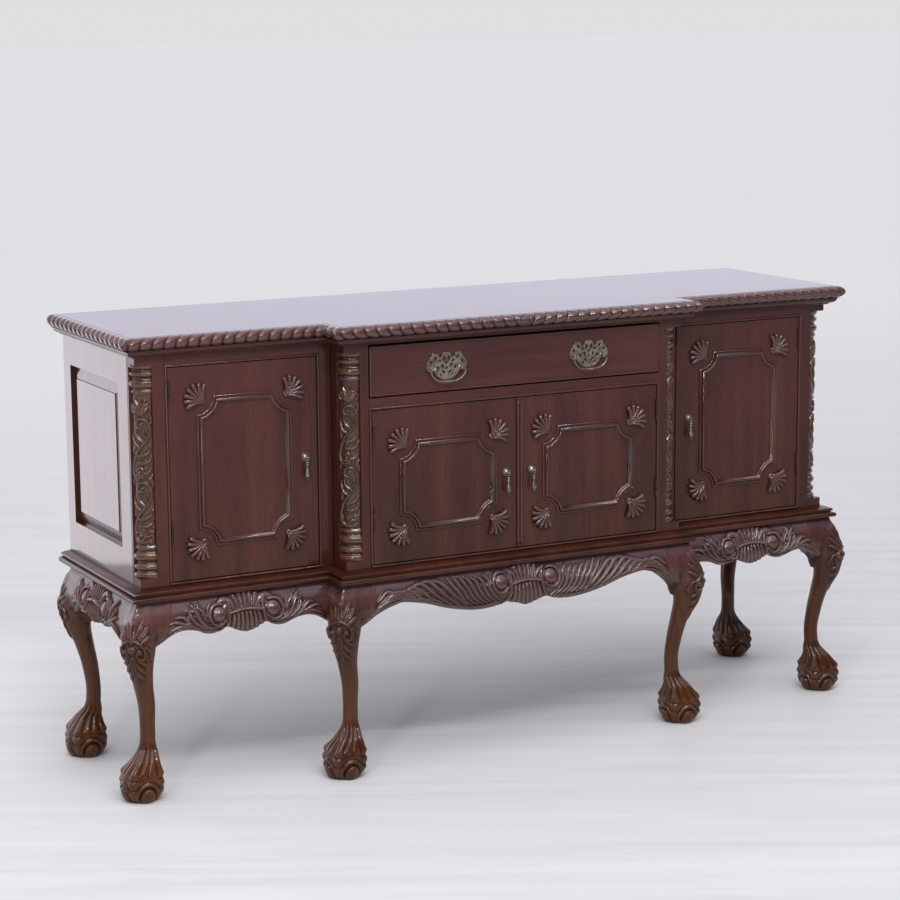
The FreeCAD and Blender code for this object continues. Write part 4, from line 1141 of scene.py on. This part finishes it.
def make_strip():
    """The astragal that covers the meeting of the centre doors, with rounded ends."""
    low, high = corners("astragal_strip")
    middle, half = (low[0] + high[0]) / 2, (high[0] - low[0]) / 2
    depth = high[1] - low[1] - 0.3
    loops = []
    for share in np.linspace(0, 1, 41):
        z = low[2] + (high[2] - low[2]) * (0.5 - 0.5 * math.cos(math.pi * share))
        end = min(z - low[2], high[2] - z)
        scale = math.sqrt(max(1 - (1 - min(end / STRIP_END, 1)) ** 2, 0.003))
        ring = []
        for t in np.linspace(0, math.pi, 15):
            lip = STRIP_LIP if 0.25 < abs(math.cos(t)) < 0.98 else 1.0
            ring.append((middle + half * scale * math.cos(t),
                         high[1] - 0.3 - depth * scale * lip * math.sin(t) ** 0.8, z))
        loops.append(ring + [(middle + way * half * scale, high[1], z) for way in (-1, 1)])
    new_piece("rounded_astragal", Shape().loft(loops), "right_centre_door", "mahogany", POLISHED["up"],
              "astragal_strip", crisp=35)


# -------- camera, light and stage

# The camera's place in metres, its turns in radians and its lens in mm. The floor's boards run
# across the view.
CAMERA_PLACE = (-2.6246, -4.8998, 1.6702)
YAW, PITCH, ROLL = 0.4836, -0.1824, -0.0077
LENS, SENSOR = 99.0, 36.0
BOARD_TURN = YAW
FLOOR_REACH = 80.0
SOFT = "SMOOTHSTEP"
BACKDROP, BACK_GLOW = (0.74, 0.74, 0.74), (0.93, 0.93, 1.1)
FRONT_LOW, FRONT_HIGH = (0.06, 0.06, 0.07), (1.15, 1.1, 1.25)


def make_camera():
    """A long lens from the front left, a little above the top."""
    data = bpy.data.cameras.new("camera")
    data.lens = LENS
    data.sensor_width = SENSOR
    camera = bpy.data.objects.new("camera", data)
    camera.location = CAMERA_PLACE
    forward = Vector((math.sin(YAW) * math.cos(PITCH), math.cos(YAW) * math.cos(PITCH), math.sin(PITCH)))
    turn = Matrix.Rotation(ROLL, 3, "Z").to_quaternion()
    camera.rotation_mode = "QUATERNION"
    camera.rotation_quaternion = forward.to_track_quat("-Z", "Y") @ turn
    link(camera)
    bpy.context.scene.camera = camera


def lamp(name, kind, power, way, place=(0, 0, 0), colour=(1, 1, 1), **settings):
    """A light that shines along way."""
    data = bpy.data.lights.new(name, kind)
    data.energy, data.color = power, colour
    for key, value in settings.items():
        setattr(data, key, value)
    light = bpy.data.objects.new(name, data)
    light.location = place
    light.rotation_mode = "QUATERNION"
    light.rotation_quaternion = Vector(way).to_track_quat("-Z", "Y")
    link(light)


def soft_box(name, place, aim, size, power, colour=(1, 1, 1)):
    lamp(name, "AREA", power, Vector(aim) - Vector(place), place, colour,
         shape="RECTANGLE", size=size[0], size_y=size[1])


def make_floor():
    """A pale washed-wood floor that runs out to the horizon."""
    mesh = bpy.data.meshes.new("floor")
    ends = -FLOOR_REACH, FLOOR_REACH
    mesh.from_pydata([(ends[a], ends[b], 0) for a, b in SQUARE], [], [(0, 1, 2, 3)])
    floor = bpy.data.objects.new("floor", mesh)
    link(floor)
    s = Surface("pale_floor")
    streak = s.noise((0.9, 14, 1), detail=6, rough=0.6, twist=0.4, turn=BOARD_TURN)
    fine = s.noise((5, 90, 1), detail=3, turn=BOARD_TURN)
    colour = s.ramp(s.blend(streak, fine, 0.7), (0.35, (0.49, 0.495, 0.485)), (0.6, (0.555, 0.56, 0.55)))
    # Painted light: the floor turns lighter from 0.5 m to 6 m back, a painted brightening that melts it into
    # the bright backdrop.
    colour = s.mix(s.band(s.place("Y"), 0.5, 6.0), colour, (0.655, 0.66, 0.635))
    mesh.materials.append(s.finish(Base_Color=colour, Roughness=0.6, Specular_IOR_Level=0.2))


def make_world():
    """A dim studio whose far wall brightens above the horizon."""
    world = bpy.data.worlds.new("studio")
    bpy.context.scene.world = world
    n = Nodes(world)
    up, deep = n.place("Z", "Generated"), n.place("Y", "Generated")
    glow = n.maths("MULTIPLY", n.band(up, 0.01, 0.1, kind=SOFT), n.band(up, 0.3, 0.6, 1, 0.2, SOFT))
    back = n.mix(glow, BACKDROP, BACK_GLOW)
    front = n.mix(n.band(up, 0.42, 0.6, kind=SOFT), FRONT_LOW, FRONT_HIGH)
    whole = n.mix(n.band(deep, -0.1, 0.4, kind=SOFT), front, back)
    n.put(n.tree.nodes["Background"].inputs["Color"], whole)


make_camera()
bpy.context.scene.view_settings.view_transform = "Standard"
make_world()
lamp("sky", "SUN", 0.9, (0.15, 0.4, -1.0), angle=math.radians(50))
soft_box("overhead", (-0.8, -2.4, 3.0), (0, 0, 0.4), (2.6, 0.1), 56)
soft_box("left_card", (-1.5, 1.1, 0.57), (-0.865, 0.06, 0.57), (1.25, 0.78), 4.6, (0.97, 0.93, 1.0))
soft_box("front_left", (-3.4, -3.4, 2.2), (0, 0, 0.5), (0.12, 1.8), 40)
make_floor()

make_legs()
make_aprons()
make_case_mouldings()
make_beads()
make_side_panels()
make_door_ornaments()
make_columns()
make_pulls()
make_bail_plates()
make_bails()
make_hinge_leaves()
make_strip()
POSTS = [f"{word}_{place}_post" for word, _ in SIDES for place in ("outer", "inner")]
dress(POLISHED["across"], "top_board")
dress(POLISHED["up"], "side_frames")
dress(WOOD["across"], "top_rails", "drawer_front", "dust_board", "bottom_board")
dress(WOOD["up"], *DOORS, "inner_stiles", *POSTS)
dress(INTERIOR, "back_panel", "partitions")
dress(INTERIOR_FLAT, "back_apron", "drawer_back", "drawer_bottom", "drawer_sides", "shelves")
dress(DARK_BRASS, "frame_hinges")
dress(BRASS, "shelf_pins")
